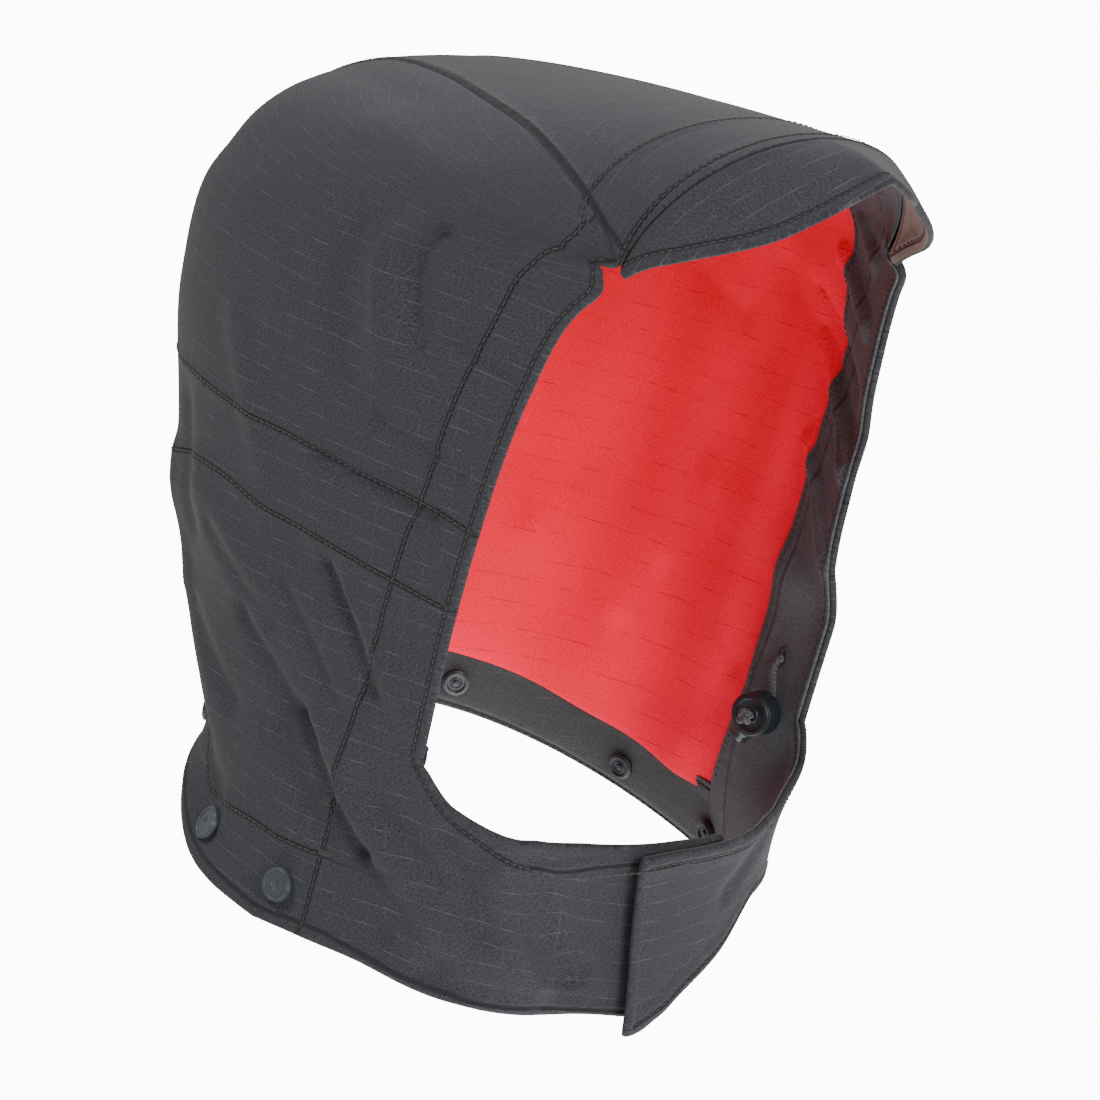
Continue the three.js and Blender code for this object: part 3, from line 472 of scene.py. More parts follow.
def spread(total: float, count: int, fine_start: bool = True, fine_end: bool = True) -> np.ndarray:
    """Places along a length, finer at its ends.

    Args:
        total: The length in mm.
        count: Steps between the fine ends.
        fine_start: Whether the first end gets fine steps.
        fine_end: Whether the last end gets them.

    Returns:
        Distances from the start, from 0 to the length.
    """
    scale = min(1.0, total / 24)
    steps = END_STEPS * scale
    start = steps if fine_start else np.array([0.0])
    end = total - steps[::-1] if fine_end else np.array([total])
    return np.concatenate([start, np.linspace(start[-1], end[0], count + 1)[1:-1], end])


def levels_of(low: float, high: float, turn: float, step: float, fine_start: bool, fine_end: bool) -> Numbers:
    """Levels a step apart on one column of the cloth, finer at the ends asked for."""
    level = np.linspace(low, high, 120)
    lengths = lengths_along(CLOTH.plain(np.full(120, turn), level))
    count = max(2, round(lengths[-1] / step))
    return np.interp(spread(lengths[-1], count, fine_start, fine_end), lengths, level)


class Side(Enum):
    """The wearer's side that a piece is on."""

    RIGHT = -1
    LEFT = 1


# How far each side's chin end reaches past the centre, in mm: the right band lies under the left tab
CHIN_REACH = {Side.RIGHT: UNDER_REACH, Side.LEFT: TAB_REACH}


@dataclass
class Patch:
    """A patch of cloth: places on the surface in rows, and what each vertex of it carries."""

    turn: np.ndarray
    level: np.ndarray
    across: np.ndarray
    quads: np.ndarray

    @staticmethod
    def rows(start: Callable, end: Callable, levels: np.ndarray, count: int) -> "Patch":
        """Rows at one level each, between two lines.

        Args:
            start: Turn of the first line at a level.
            end: Turn of the last line at a level.
            levels: The rows' levels.
            count: Steps across a row between its fine ends.

        Returns:
            The patch.
        """
        turns, places = [], []
        for level in levels:
            turn = np.linspace(start(level), end(level), 90)
            lengths = lengths_along(CLOTH.plain(turn, np.full(90, level)))
            at = spread(lengths[-1], count)
            turns.append(np.interp(at, lengths, turn))
            middle = np.interp(90, turn, lengths) if turn[0] < 90 < turn[-1] else 0.0
            middle = np.interp(0, turn, lengths) if turn[0] < 0 < turn[-1] else middle
            places.append(at - middle)
        turn, across = np.array(turns), np.array(places)
        level = np.repeat(levels[:, None], turn.shape[1], axis=1)
        ids = np.arange(turn.size).reshape(turn.shape)
        return Patch(turn.ravel(), level.ravel(), across.ravel(), quads_of(ids))

    @staticmethod
    def side(start: Callable, end: Callable, chin_end: float, levels: Places, count: int) -> "Patch":
        """Rows between two lines with a chin band that goes on from the lower ones.

        Args:
            start: Turn of the first line at a level.
            end: Turn of the last line at a level.
            chin_end: Turn of the chin band's end.
            levels: Levels up to the jaw, and from the jaw up.
            count: Steps across a row between its fine ends.

        Returns:
            The patch.
        """
        low, high = levels
        main = Patch.rows(start, end, np.concatenate([low, high[1:]]), count)
        columns = len(main.turn) // (len(low) + len(high) - 1)
        turn = np.linspace(JAW_TURN, chin_end, 90)
        lengths = lengths_along(CLOTH.plain(turn, np.full(90, 1.6)))
        at = spread(lengths[-1], 48, fine_start=False)[1:]
        turns = np.interp(at, lengths, turn)
        chin_turn = np.repeat(turns[None, :], len(low), axis=0)
        chin_level = look_up(CHIN_TOP, turns)[None, :] * low[:, None] / JAW_LEVEL
        shared = (np.arange(len(low)) + 1) * columns - 1
        chin_across = main.across[shared][:, None] + at[None, :]
        ids = len(main.turn) + np.arange(chin_turn.size).reshape(chin_turn.shape)
        ids = np.concatenate([shared[:, None], ids], axis=1)
        return Patch(
            np.concatenate([main.turn, chin_turn.ravel()]),
            np.concatenate([main.level, chin_level.ravel()]),
            np.concatenate([main.across, chin_across.ravel()]),
            np.concatenate([main.quads, quads_of(ids)]),
        )

    def on(self, side: Side) -> "Patch":
        """The patch on one of the wearer's sides."""
        if side is Side.LEFT:
            return self
        return Patch(-self.turn, self.level, self.across, self.quads[:, ::-1])


def quads_of(ids: np.ndarray) -> np.ndarray:
    """The quads between the rows of a table of vertex numbers."""
    corners = [ids[:-1, :-1], ids[:-1, 1:], ids[1:, 1:], ids[1:, :-1]]
    return np.stack([c.ravel() for c in corners], axis=1)


def outlines(quads: np.ndarray) -> list[list[int]]:
    """The closed edges of a sheet, each in the order that its faces run."""
    follows: dict[int, int] = {}
    edges = {(int(q[i]), int(q[(i + 1) % 4])) for q in quads for i in range(4)}
    for a, b in edges:
        if (b, a) not in edges:
            follows[a] = b
    loops = []
    while follows:
        first = next(iter(follows))
        loop = [first]
        at = follows.pop(first)
        while at != first:
            loop.append(at)
            at = follows.pop(at)
        loops.append(loop)
    return loops


@dataclass
class Wall:
    """A closed wall of cloth between two depths under a sheet, with a rounded rim."""

    points: np.ndarray
    normals: np.ndarray
    quads: np.ndarray
    outer: np.ndarray
    inner: np.ndarray
    bulge: float = 0.8

    def build(self, name: str, carried: dict[str, np.ndarray]) -> bpy.types.Object:
        """Makes the mesh.

        Args:
            name: The new object's name.
            carried: Numbers for each vertex of the sheet: uv with two columns, others with one or three.

        Returns:
            The object, at the origin in metres.
        """
        a, b, c = (self.points[self.quads[:, i]] for i in range(3))
        facing = np.einsum("ij,ij->i", np.cross(b - a, c - b), self.normals[self.quads[:, 0]])
        quads = self.quads if np.median(facing) > 0 else self.quads[:, ::-1]
        count = len(self.points)
        vertices = [self.points - self.normals * depth[:, None] for depth in (self.outer, self.inner)]
        source = [np.arange(count), np.arange(count)]
        faces = [quads, quads[:, ::-1] + count]
        at = 2 * count
        for loop in outlines(quads):
            ring = np.array(loop)
            ahead = self.points[np.roll(ring, -1)] - self.points[np.roll(ring, 1)]
            away = unit(np.cross(ahead, self.normals[ring]))
            middle = (vertices[0][ring] + vertices[1][ring]) / 2
            radius = ((self.inner - self.outer)[ring] / 2)[:, None]
            rings = [ring]
            for angle in (40, 90, 140):
                up, out = math.cos(math.radians(angle)), math.sin(math.radians(angle))
                vertices.append(middle + radius * (up * self.normals[ring] + self.bulge * out * away))
                source.append(ring)
                rings.append(at + np.arange(len(ring)))
                at += len(ring)
            rings.append(ring + count)
            for low, high in zip(rings[:-1], rings[1:]):
                faces.append(np.stack([np.roll(low, -1), low, high, np.roll(high, -1)], axis=1))
        places = np.concatenate(vertices)
        origin = np.concatenate(source)
        inside = np.zeros(len(places))
        inside[count : 2 * count] = 1
        made = smooth_object(name, places, np.concatenate(faces).tolist())
        for key, values in {**carried, "inside": None}.items():
            spread_out = inside if values is None else values[origin]
            add_numbers(made.data, key, spread_out)
        made.data.validate()
        made.data.update()
        return made


def link(name: str, data: bpy.types.ID) -> bpy.types.Object:
    """A new object in the scene."""
    made = bpy.data.objects.new(name, data)
    bpy.context.scene.collection.objects.link(made)
    return made


def smooth_object(name: str, points: np.ndarray, faces: list) -> bpy.types.Object:
    """A smooth-shaded object from points in mm and faces."""
    mesh = bpy.data.meshes.new(name)
    mesh.from_pydata(CLOTH.to_part(points).tolist(), [], faces)
    mesh.polygons.foreach_set("use_smooth", np.ones(len(mesh.polygons), bool))
    mesh.update()
    return link(name, mesh)


def add_numbers(mesh: bpy.types.Mesh, name: str, values: np.ndarray) -> None:
    """Gives a mesh a UV map, where there are two columns, or an attribute on its vertices.

    Args:
        mesh: The mesh.
        name: Name of the map or attribute.
        values: A row for each vertex.
    """
    if values.ndim == 2 and values.shape[1] == 2:
        corner = np.zeros(len(mesh.loops), np.int32)
        mesh.loops.foreach_get("vertex_index", corner)
        layer = mesh.uv_layers.new(name=name)
        layer.data.foreach_set("uv", values[corner].ravel().astype(np.float32))
        return
    kind = "FLOAT" if values.ndim == 1 else "FLOAT_VECTOR"
    layer = mesh.attributes.new(name, kind, "POINT")
    layer.data.foreach_set("value" if kind == "FLOAT" else "vector", values.ravel().astype(np.float32))


# Finishes


def colour(hex_value: str) -> tuple[float, float, float, float]:
    """A colour for a shader socket from an sRGB hex value."""
    parts = [int(hex_value[i : i + 2], 16) / 255 for i in (1, 3, 5)]
    linear = [p / 12.92 if p <= 0.04045 else ((p + 0.055) / 1.055) ** 2.4 for p in parts]
    return (linear[0], linear[1], linear[2], 1.0)


def add_node(
    tree: bpy.types.NodeTree, kind: str, inputs: dict | None = None, **settings: object
) -> bpy.types.Node:
    """Adds a node with its settings and links.

    Args:
        tree: The node tree.
        kind: The node's type.
        inputs: For each socket, by name or number, a value or another node's output.
        **settings: The node's own settings.

    Returns:
        The node.
    """
    made = tree.nodes.new(kind)
    for name, value in settings.items():
        setattr(made, name, value)
    for key, value in (inputs or {}).items():
        if isinstance(value, bpy.types.NodeSocket):
            tree.links.new(value, made.inputs[key])
        else:
            made.inputs[key].default_value = value
    return made


class Paint:
    """The nodes of one material, with short ways to add them."""

    def __init__(self, name: str) -> None:
        """Starts a material with a bare principled shader.

        Args:
            name: The material's name.
        """
        self.material = bpy.data.materials.new(name)
        self.material.use_nodes = True
        self.tree = self.material.node_tree
        self.tree.nodes.clear()
        self.shader = self.node("BsdfPrincipled")
        self.node("OutputMaterial", {"Surface": self.shader.outputs[0]})

    def node(self, kind: str, inputs: dict | None = None, **settings: object) -> bpy.types.Node:
        """Adds any shader node."""
        return add_node(self.tree, "ShaderNode" + kind, inputs, **settings)

    def math(self, operation: str, *values: object) -> bpy.types.NodeSocket:
        """The result of a sum on values or other nodes' outputs."""
        return self.node("Math", dict(enumerate(values)), operation=operation).outputs[0]

    def remap(self, value: bpy.types.NodeSocket, *ends: float, kind: str = "LINEAR") -> bpy.types.NodeSocket:
        """A value moved from one range, the first two ends, to another."""
        return self.node("MapRange", dict(enumerate((value, *ends))), interpolation_type=kind).outputs[0]

    def noise(self, place: bpy.types.NodeSocket, scale: float, detail: float) -> bpy.types.NodeSocket:
        """Soft noise."""
        return self.node("TexNoise", {"Vector": place, "Scale": scale, "Detail": detail}).outputs["Fac"]

    def mix(self, share: bpy.types.NodeSocket, *colours: object) -> bpy.types.NodeSocket:
        """A mix of two colours, each a hex value or another node's output."""
        low, high = (colour(c) if isinstance(c, str) else c for c in colours)
        return self.node("Mix", {0: share, 6: low, 7: high}, data_type="RGBA").outputs[2]

    def place(self) -> bpy.types.NodeSocket:
        """The place on the object, in metres."""
        return self.node("TexCoord").outputs["Object"]

    def done(self, body: bpy.types.NodeSocket, height: bpy.types.NodeSocket, rise: float, share: float,
             **numbers: float) -> bpy.types.Material:
        """Links colour and bump to the shader and sets its other sockets.

        Args:
            body: The colour.
            height: The bump's height.
            rise: Its full height in metres.
            share: Its strength.
            **numbers: Values of the shader's sockets, with _ for spaces.

        Returns:
            The material.
        """
        self.tree.links.new(body, self.shader.inputs["Base Color"])
        bump = self.node("Bump", {"Height": height, "Distance": rise, "Strength": share}).outputs[0]
        self.tree.links.new(bump, self.shader.inputs["Normal"])
        for name, value in numbers.items():
            self.shader.inputs[name.replace("_", " ")].default_value = value
        return self.material


@dataclass(frozen=True)
class WovenCloth:
    """A plain-woven polyester and cotton cloth with reinforcing yarns in a grid."""

    name: str
    base: str
    pale: str
    dark: str
    line: str
    line_strength: float
    cross_strength: float
    roughness: float
    sheen: float
    weave: float
    spacing: float = 7.0
    underside: str = ""
    gloss: float = 0.2

    def make(self) -> bpy.types.Material:
        """Builds the material: mottled yarn colour, thin grid lines, seams that draw in with painted shade in
        their grooves, and soft sheen.
        """
        paint = Paint(self.name)
        uv = paint.node("UVMap", uv_map="cloth").outputs[0]
        in_mm = paint.node("VectorMath", {0: uv, 3: 100.0}, operation="SCALE").outputs[0]
        coords = paint.place()
        broad = paint.noise(coords, 26.0, 3.0)
        fleck = self.flecks(paint, in_mm)
        yarn = paint.mix(fleck, self.dark, self.pale)
        body = paint.mix(paint.remap(broad, 0.3, 0.7, 0.7, 0.9), self.base, yarn)
        grid = self.grid(paint, in_mm)
        body = paint.mix(grid, body, self.line)
        # Seams: the cloth draws in along a line of stitches and puckers on both sides of it, and the groove is
        # darkened towards the dark yarn colour as painted shade
        groove_and_shade, near = self.seams(paint)
        body = paint.mix(paint.math("MULTIPLY", groove_and_shade, 0.75), body, self.dark)
        if self.underside:
            inside = paint.node("Attribute", attribute_name="inside").outputs["Fac"]
            body = paint.mix(inside, body, self.underside)
        pucker = paint.math("MULTIPLY", paint.noise(coords, 190.0, 1.5), near)
        height = paint.math("MULTIPLY_ADD", pucker, 1.3, 0.0)
        for part, share in ((groove_and_shade, -0.8), (fleck, self.weave), (grid, 0.12), (broad, 1.2)):
            height = paint.math("MULTIPLY_ADD", part, share, height)
        return paint.done(
            body, height, 0.001, 0.9, Roughness=self.roughness, IOR=1.5, Specular_IOR_Level=self.gloss,
            Sheen_Weight=self.sheen, Sheen_Roughness=0.5,
        )

    def flecks(self, paint: Paint, in_mm: bpy.types.NodeSocket) -> bpy.types.NodeSocket:
        """Yarns that differ along their length, coarser than the real weave so that they show."""
        yarns = []
        for stretch in ((1.1, 3.4, 1.0), (3.6, 1.2, 1.0)):
            place = paint.node("VectorMath", {0: in_mm, 1: stretch}, operation="MULTIPLY").outputs[0]
            yarns.append(paint.noise(place, 0.85, 2.0))
        return paint.remap(paint.math("ADD", *yarns), 0.72, 1.28, 0.0, 1.0)

    def grid(self, paint: Paint, in_mm: bpy.types.NodeSocket) -> bpy.types.NodeSocket:
        """Reinforcing yarns: a thin line every few millimetres both ways, broken where they dip under."""
        split = paint.node("SeparateXYZ", {0: in_mm})
        shown = paint.remap(paint.noise(in_mm, 0.11, 2.0), 0.42, 0.64, 0.05, 1.0)
        lines = []
        ways = (split.outputs[1], self.line_strength), (split.outputs[0], self.cross_strength)
        for output, strength in ways:
            fold = paint.math("PINGPONG", output, self.spacing / 2)
            lines.append(paint.math("MULTIPLY", paint.remap(fold, 0.02, 0.24, strength, 0.0), shown))
        return paint.math("MAXIMUM", *lines)

    def seams(self, paint: Paint) -> tuple[bpy.types.NodeSocket, bpy.types.NodeSocket]:
        """How near a point is to the lines of stitches, whose distances the mesh carries in mm.

        Args:
            paint: The material's nodes.

        Returns:
            1 on a line and 0 beside it, for the groove's bump and its painted shade, and the same for the
            wider zone that puckers.
        """
        sizes = []
        for name in ("lines_a", "lines_b"):
            lines = paint.node("Attribute", attribute_name=name).outputs["Vector"]
            split = paint.node("SeparateXYZ", {0: lines})
            sizes += [paint.math("ABSOLUTE", output) for output in split.outputs]
        groove_and_shade, near = (
            reduce(
                lambda most, other: paint.math("MAXIMUM", most, other),
                [paint.remap(size, *ends, 1.0, 0.0, kind="SMOOTHSTEP") for size in sizes],
            )
            for ends in ((0.15, 1.3), (0.5, 6.0))
        )
        return groove_and_shade, near


@dataclass(frozen=True)
class MouldedPlastic:
    """Acetal, injection moulded: smooth, with a soft gloss and a painted highlight on its edges."""

    name: str
    base: str
    rim_highlight: str
    roughness: float

    def make(self) -> bpy.types.Material:
        """Builds the material: near-black plastic whose gloss varies a little, with edges painted paler as a
        highlight.
        """
        paint = Paint(self.name)
        fine = paint.noise(paint.place(), 900.0, 3.0)
        edge = paint.node("NewGeometry").outputs["Pointiness"]
        rough = paint.remap(fine, 0.3, 0.7, self.roughness - 0.06, self.roughness + 0.1)
        paint.tree.links.new(rough, paint.shader.inputs["Roughness"])
        # Painted highlight: convex edges are mixed towards a paler colour, as where a rim catches the light
        body = paint.mix(paint.remap(edge, 0.52, 0.62, 0.0, 0.6), self.base, self.rim_highlight)
        return paint.done(body, fine, 0.00003, 0.5, IOR=1.48)


@dataclass(frozen=True)
class SpunThread:
    """Polyester core-spun thread, twisted from plies."""

    name: str
    base: str
    pale: str

    def make(self) -> bpy.types.Material:
        """Builds the material: dark thread with slightly paler fibres."""
        paint = Paint(self.name)
        ply = paint.noise(paint.place(), 2200.0, 1.0)
        body = paint.mix(ply, self.base, self.pale)
        return paint.done(body, ply, 0.0001, 0.6, Roughness=0.75, Sheen_Weight=0.1)


@dataclass(frozen=True)
class BraidedElastic:
    """Round elastic cord: rubber in a braided polyester sleeve with ribs across it."""

    name: str
    base: str
    pale: str
    rib: float

    def make(self) -> bpy.types.Material:
        """Builds the material: dark sleeve whose ribs are painted paler as a highlight, and rise in a bump."""
        paint = Paint(self.name)
        uv = paint.node("UVMap", uv_map="cloth").outputs[0]
        split = paint.node("SeparateXYZ", {0: uv})
        waves = []
        for sign in (1.0, -1.0):
            lean = paint.math("MULTIPLY_ADD", split.outputs[0], sign * 2.0, split.outputs[1])
            waves.append(paint.math("SINE", paint.math("MULTIPLY", lean, 2 * math.pi)))
        fine = paint.remap(paint.math("MAXIMUM", *waves), -0.6, 1.0, 0.0, 1.0)
        # Painted highlight: the crests of the ribs are mixed towards the paler colour
        body = paint.mix(fine, self.base, self.pale)
        return paint.done(body, fine, self.rib / 1000, 0.8, Roughness=0.7, Sheen_Weight=0.2)


@dataclass(frozen=True)
class TouchAndClose:
    """Nylon hook or loop tape: a rough pile that hides its weave."""

    name: str
    base: str
    pale: str
    pitch: float

    def make(self) -> bpy.types.Material:
        """Builds the material: a pile of small hooks or loops, with a painted highlight on each tuft and
        painted shade in the gaps between.
        """
        paint = Paint(self.name)
        cell = paint.node("TexVoronoi", {"Vector": paint.place(), "Scale": 1000 / self.pitch})
        # Painted highlight and shade: each tuft is paler at its middle and darker towards the gaps
        tuft_and_painted_light = paint.remap(cell.outputs["Distance"], 0.0, 0.7, 1.0, 0.0)
        body = paint.mix(tuft_and_painted_light, self.base, self.pale)
        return paint.done(body, tuft_and_painted_light, 0.0006, 1.0, Roughness=0.95, Sheen_Weight=0.3)


class Finish:
    """The hood's finishes, made once."""

    def __init__(self) -> None:
        """Makes every material."""
        woven = dict(
            roughness=0.9, sheen=0.04, weave=0.1, line="#5f6064", line_strength=0.3, cross_strength=0.1
        )
        slate = dict(base="#1e1e21", pale="#343439", dark="#0d0d0f", **woven)
        self.shell = WovenCloth("slate polyester-cotton ripstop", **slate).make()
        self.peak = WovenCloth("slate ripstop on a stiffened peak", underside="#5f5750", **slate).make()
        self.facing = WovenCloth(
            "charcoal ripstop facing", base="#393d41", pale="#494d51", dark="#232629", **woven
        ).make()
        self.band = WovenCloth(
            "charcoal neck band cloth", base="#282a2c", pale="#353738", dark="#181a1b", line="#5a5654",
            line_strength=0.25, cross_strength=0.1, roughness=0.9, sheen=0.1, weave=0.14,
        ).make()
        self.lining = WovenCloth(
            "red polyester ripstop lining", base="#d60030", pale="#de083c", dark="#b8021c", line="#8e0418",
            line_strength=0.7, cross_strength=0.08, roughness=0.8, sheen=0.0, weave=0.03, spacing=9.4,
            gloss=0.08,
        ).make()
        self.thread = SpunThread("black core-spun thread", base="#070708", pale="#151517").make()
        self.plastic = MouldedPlastic("blue-black moulded acetal", "#12161b", "#2d343b", roughness=0.34).make()
        self.cap = MouldedPlastic("slate moulded acetal", "#20262b", "#3a434a", roughness=0.42).make()
        self.cord = BraidedElastic("black braided elastic", base="#0c0d0f", pale="#26282c", rib=0.22).make()
        self.hooks = TouchAndClose("nylon hook tape", base="#2b2825", pale="#5a544c", pitch=1.3).make()
        self.loops = TouchAndClose("nylon loop tape", base="#35312d", pale="#6a6359", pitch=0.9).make()


def dress(piece: bpy.types.Object, finish: bpy.types.Material, body: str, slot: str, *nodes: str) -> None:
    """Gives a piece its finish, its body and what it stands for.

    Args:
        piece: The piece.
        finish: Its material.
        body: The body that it rides on.
        slot: Not used.
        *nodes: The CAD nodes that it replaces.
    """
    piece.data.materials.clear()
    piece.data.materials.append(finish)
    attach(piece, body)
    if nodes:
        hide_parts(*nodes)
    LOG.info("%s: %s faces", piece.name, len(getattr(piece.data, "polygons", ())))


# Lines of stitches


@dataclass(frozen=True)
class Seam:
    """A line of stitches on the cloth, through places on one side, or on both where side is None."""

    name: str
    side: Side | None
    places: PlacePairs

    def traced(self, sign: int) -> Places:
        """Turns and levels of the line about a millimetre apart.

        Args:
            sign: -1 for the wearer's right, 1 for the left.

        Returns:
            The turns and the levels.
        """
        knots = np.array(self.places, float)
        rough = CLOTH.plain(sign * knots[:, 0], knots[:, 1])
        lengths = lengths_along(rough)
        steps = np.linspace(0, lengths[-1], max(8, int(lengths[-1] / 1.2)))
        turn = look_up(list(zip(lengths, knots[:, 0])), steps)
        level = look_up(list(zip(lengths, knots[:, 1])), steps)
        return sign * turn, level

    def signs(self) -> tuple[int, ...]:
        """The sides that the line is on."""
        return (-1, 1) if self.side is None else (self.side.value,)


def inset_line(edge: Callable, inset: float, low: float, high: float, count: int) -> PlacePairs:
    """Places of a line that keeps a length of cloth behind an edge.

    Args:
        edge: Turn of the edge at a level.
        inset: The length in mm, less than 0 for the other side.
        low: The line's lowest level.
        high: Its highest level.
        count: How many places.

    Returns:
        Pairs of turn and level.
    """
    levels = np.linspace(low, high, count)
    return tuple((edge(v) - inset / CLOTH.span(edge(v), v), v) for v in levels)


def chin_line(inset: float, start: float, end: float, count: int = 14) -> PlacePairs:
    """Places of a line under the chin's top edge."""
    turns = np.linspace(start, end, count)
    tops = look_up(CHIN_TOP, turns)
    rise = [float(np.linalg.norm(CLOTH.rise(t, v - 0.2, v))) for t, v in zip(turns, tops)]
    return tuple((float(t), float(v - inset / r)) for t, v, r in zip(turns, tops, rise))


def hem_line(inset: float, start: float, end: float, count: int = 30) -> PlacePairs:
    """Places of a line above the hem."""
    turns = np.linspace(start, end, count)
    rise = [float(np.linalg.norm(CLOTH.rise(t, 0.0, 0.2))) for t in turns]
    return tuple((float(t), inset / r) for t, r in zip(turns, rise))


def raw_level(turn: float, level: float, side: Side) -> float:
    """A level on the cloth from a level in the table of sections, which the hem's rise shifts."""
    if level >= HEM_TOP:
        return level
    rise = float(look_up(HEM_LEFT if side is Side.LEFT else HEM_RIGHT, turn))
    return (level - rise) / (1 - rise / HEM_TOP)


class Stitching:
    """All lines of stitches, and the thread in them."""

    def __init__(self) -> None:
        """Lays out the lines."""
        edge = inset_line(face_edge, EDGE_INSET, JAW_LEVEL + 0.1, 9.86, 40)
        low_right = [(t, raw_level(t, v, Side.RIGHT)) for t, v in ((103.3, 2.26), (102.7, 1.75))]
        low_facing = {
            Side.RIGHT: (*low_right, (103.2, 0.03)),
            Side.LEFT: ((103.5, 2.2), (102.5, 1.6), (102, 0.03)),
        }
        band = tuple((t, raw_level(t, v, Side.RIGHT)) for t, v in BAND_SEAM)
        step = 1 / CLOTH.span(180, 2)
        lines = []
        for side in Side:
            to_end = CLOTH.chin_end(CHIN_REACH[side]) - 3.0 * step
            lines += [
                Seam("edge", side, tuple(reversed(chin_line(EDGE_INSET, JAW_TURN + 2.5, to_end))) + edge),
                Seam("facing", side, FACING_SEAM + low_facing[side]),
                Seam("upper", side, UPPER_SEAM[1:] if side is Side.LEFT else UPPER_SEAM),
                Seam("lower", side, LOWER_SEAM),
                Seam("hem", side, hem_line(3.0, 16, to_end)),
                Seam("band", side, band if side is Side.RIGHT else BAND_SEAM),
            ]
        tab_end = CLOTH.chin_end(TAB_REACH) - 2.4 * step
        lines.append(Seam("tab end", Side.LEFT, tuple((tab_end, v) for v in np.linspace(0.12, 2.2, 12))))
        lines.append(Seam("crown", None, inset_line(crown_seam, 2.4, 0.05, 9.9, 60)))
        self.lines = lines
        self.brow = tuple((f * face_edge(BROW), BROW - 0.055) for f in np.linspace(-0.96, 0.96, 40))

    def of(self, side: Side, *names: str) -> list[np.ndarray]:
        """Points of the named lines on one side, without folds."""
        found = []
        for name in names:
            for seam in self.lines:
                if seam.name == name and side.value in seam.signs():
                    turn, level = seam.traced(side.value)
                    found.append(CLOTH.plain(turn, level))
        return found

    def thread(self, name: str, finish: Finish, chosen: Sequence[tuple[Places, float]]) -> bpy.types.Object:
        """Makes the thread of some lines as one piece.

        Args:
            name: The piece's name.
            finish: The hood's finishes.
            chosen: For each line its turns and levels, and its depth under the outside, less than 0 for
                thread on the inside, which faces the other way.

        Returns:
            The piece.
        """
        vertices, faces = [], []
        for (turn, level), depth in chosen:
            sign = -1 if depth > SHELL else 1
            normals = CLOTH.normal(turn, level) * sign
            points = CLOTH.point(turn, level) - CLOTH.normal(turn, level) * depth
            add_stitches(points, normals, vertices, faces)
        return dressed_thread(name, finish, vertices, faces)

    def sew(self, finish: Finish) -> None:
        """Makes the thread outside, and inside round the facings and on the neck band."""
        lines = [(seam.name, sign, seam.traced(sign)) for seam in self.lines for sign in seam.signs()]
        brow = np.linspace(-89, 89, 200)
        outside = [(places, -0.1) for name, sign, places in lines if not (sign < 0 and name == "hem")]
        outside.append(((brow, brow_facing_levels(np.linspace(-1, 1, 200))), -0.1))
        outside.append((tuple(np.array(self.brow).T), -0.3))
        self.thread("topstitch", finish, outside)
        levels = np.linspace(BAND_LEVEL + 0.1, 9.5, 260)
        rear = np.array([inside_rear_line(v) + 2.0 / CLOTH.span(inside_rear_line(v), v) for v in levels])
        band = np.linspace(-BAND_TURN + 1, BAND_TURN - 1, 300)
        inside = [((sign * rear, levels), FACING_FACE + 0.05) for sign in (-1, 1)]
        inside += [(at, FACING_FACE + 0.05) for name, sign, at in lines if name == "edge" and sign > 0]
        inside += [((band, np.full(300, level)), FACING_FACE - 0.2) for level in (BAND_LEVEL - 0.07, 0.12)]
        self.thread("inside_stitches", finish, inside)


def add_stitches(
    points: np.ndarray, normals: np.ndarray, vertices: list, faces: list, length: float = STITCH_LENGTH
) -> None:
    """Adds a row of stitches that dip into the cloth at both ends.

    Args:
        points: The line's points.
        normals: The cloth's normals at them.
        vertices: Takes the new vertices.
        faces: Takes the new faces.
        length: Length of a stitch in mm.
    """
    lengths = lengths_along(points)
    starts = np.arange(0.4, lengths[-1] - length, STITCH_PITCH) if lengths[-1] > length + 0.5 else [0.0]
    for start in starts:
        at = start + np.array([f for f, _, _ in STITCH_SHAPE]) * length
        centres = np.stack([np.interp(at, lengths, points[:, k]) for k in range(3)], axis=1)
        up = unit(np.stack([np.interp(at, lengths, normals[:, k]) for k in range(3)], axis=1))
        ahead = unit(centres[-1] - centres[0])
        side = unit(np.cross(ahead, up))
        first = len(vertices)
        for i, (_, size, lift) in enumerate(STITCH_SHAPE):
            centre = centres[i] + up[i] * lift
            for k in range(6):
                a = math.pi * k / 3
                around = math.cos(a) * side[i] + 0.8 * math.sin(a) * up[i]
                vertices.append(centre + THREAD_RADIUS * size * around)
        for i in range(4):
            for k in range(6):
                p, q = first + 6 * i + k, first + 6 * i + (k + 1) % 6
                faces.append((p, p + 6, q + 6, q))
        faces.append(tuple(first + k for k in range(6)))
        faces.append(tuple(first + 24 + k for k in reversed(range(6))))


def add_whipping(points: np.ndarray, normals: np.ndarray, width: float, vertices: list, faces: list) -> None:
    """Adds close stitches across a line, as on a buttonhole or a bar tack.

    Args:
        points: The line's points.
        normals: The cloth's normals at them.
        width: Length of a stitch across the line, in mm.
        vertices: Takes the new vertices.
        faces: Takes the new faces.
    """
    lengths = lengths_along(points)
    for at in np.arange(0, lengths[-1], WHIP_PITCH):
        centre = np.array([np.interp(at, lengths, points[:, k]) for k in range(3)])
        ahead = np.array([np.interp(at + 0.1, lengths, points[:, k]) for k in range(3)]) - centre
        up = unit(np.array([np.interp(at, lengths, normals[:, k]) for k in range(3)]))
        across = unit(np.cross(up, ahead if np.linalg.norm(ahead) > 1e-6 else points[-1] - points[-2]))
        ends = np.array([centre - across * width / 2, centre + across * width / 2])
        add_stitches(ends, np.array([up, up]), vertices, faces, width)


def dressed_thread(name: str, finish: Finish, vertices: list, faces: list) -> bpy.types.Object:
    """Makes one piece of thread from vertices in mm."""
    made = smooth_object(name, np.array(vertices), faces)
    dress(made, finish.thread, "hood", "slate_ripstop")
    return made


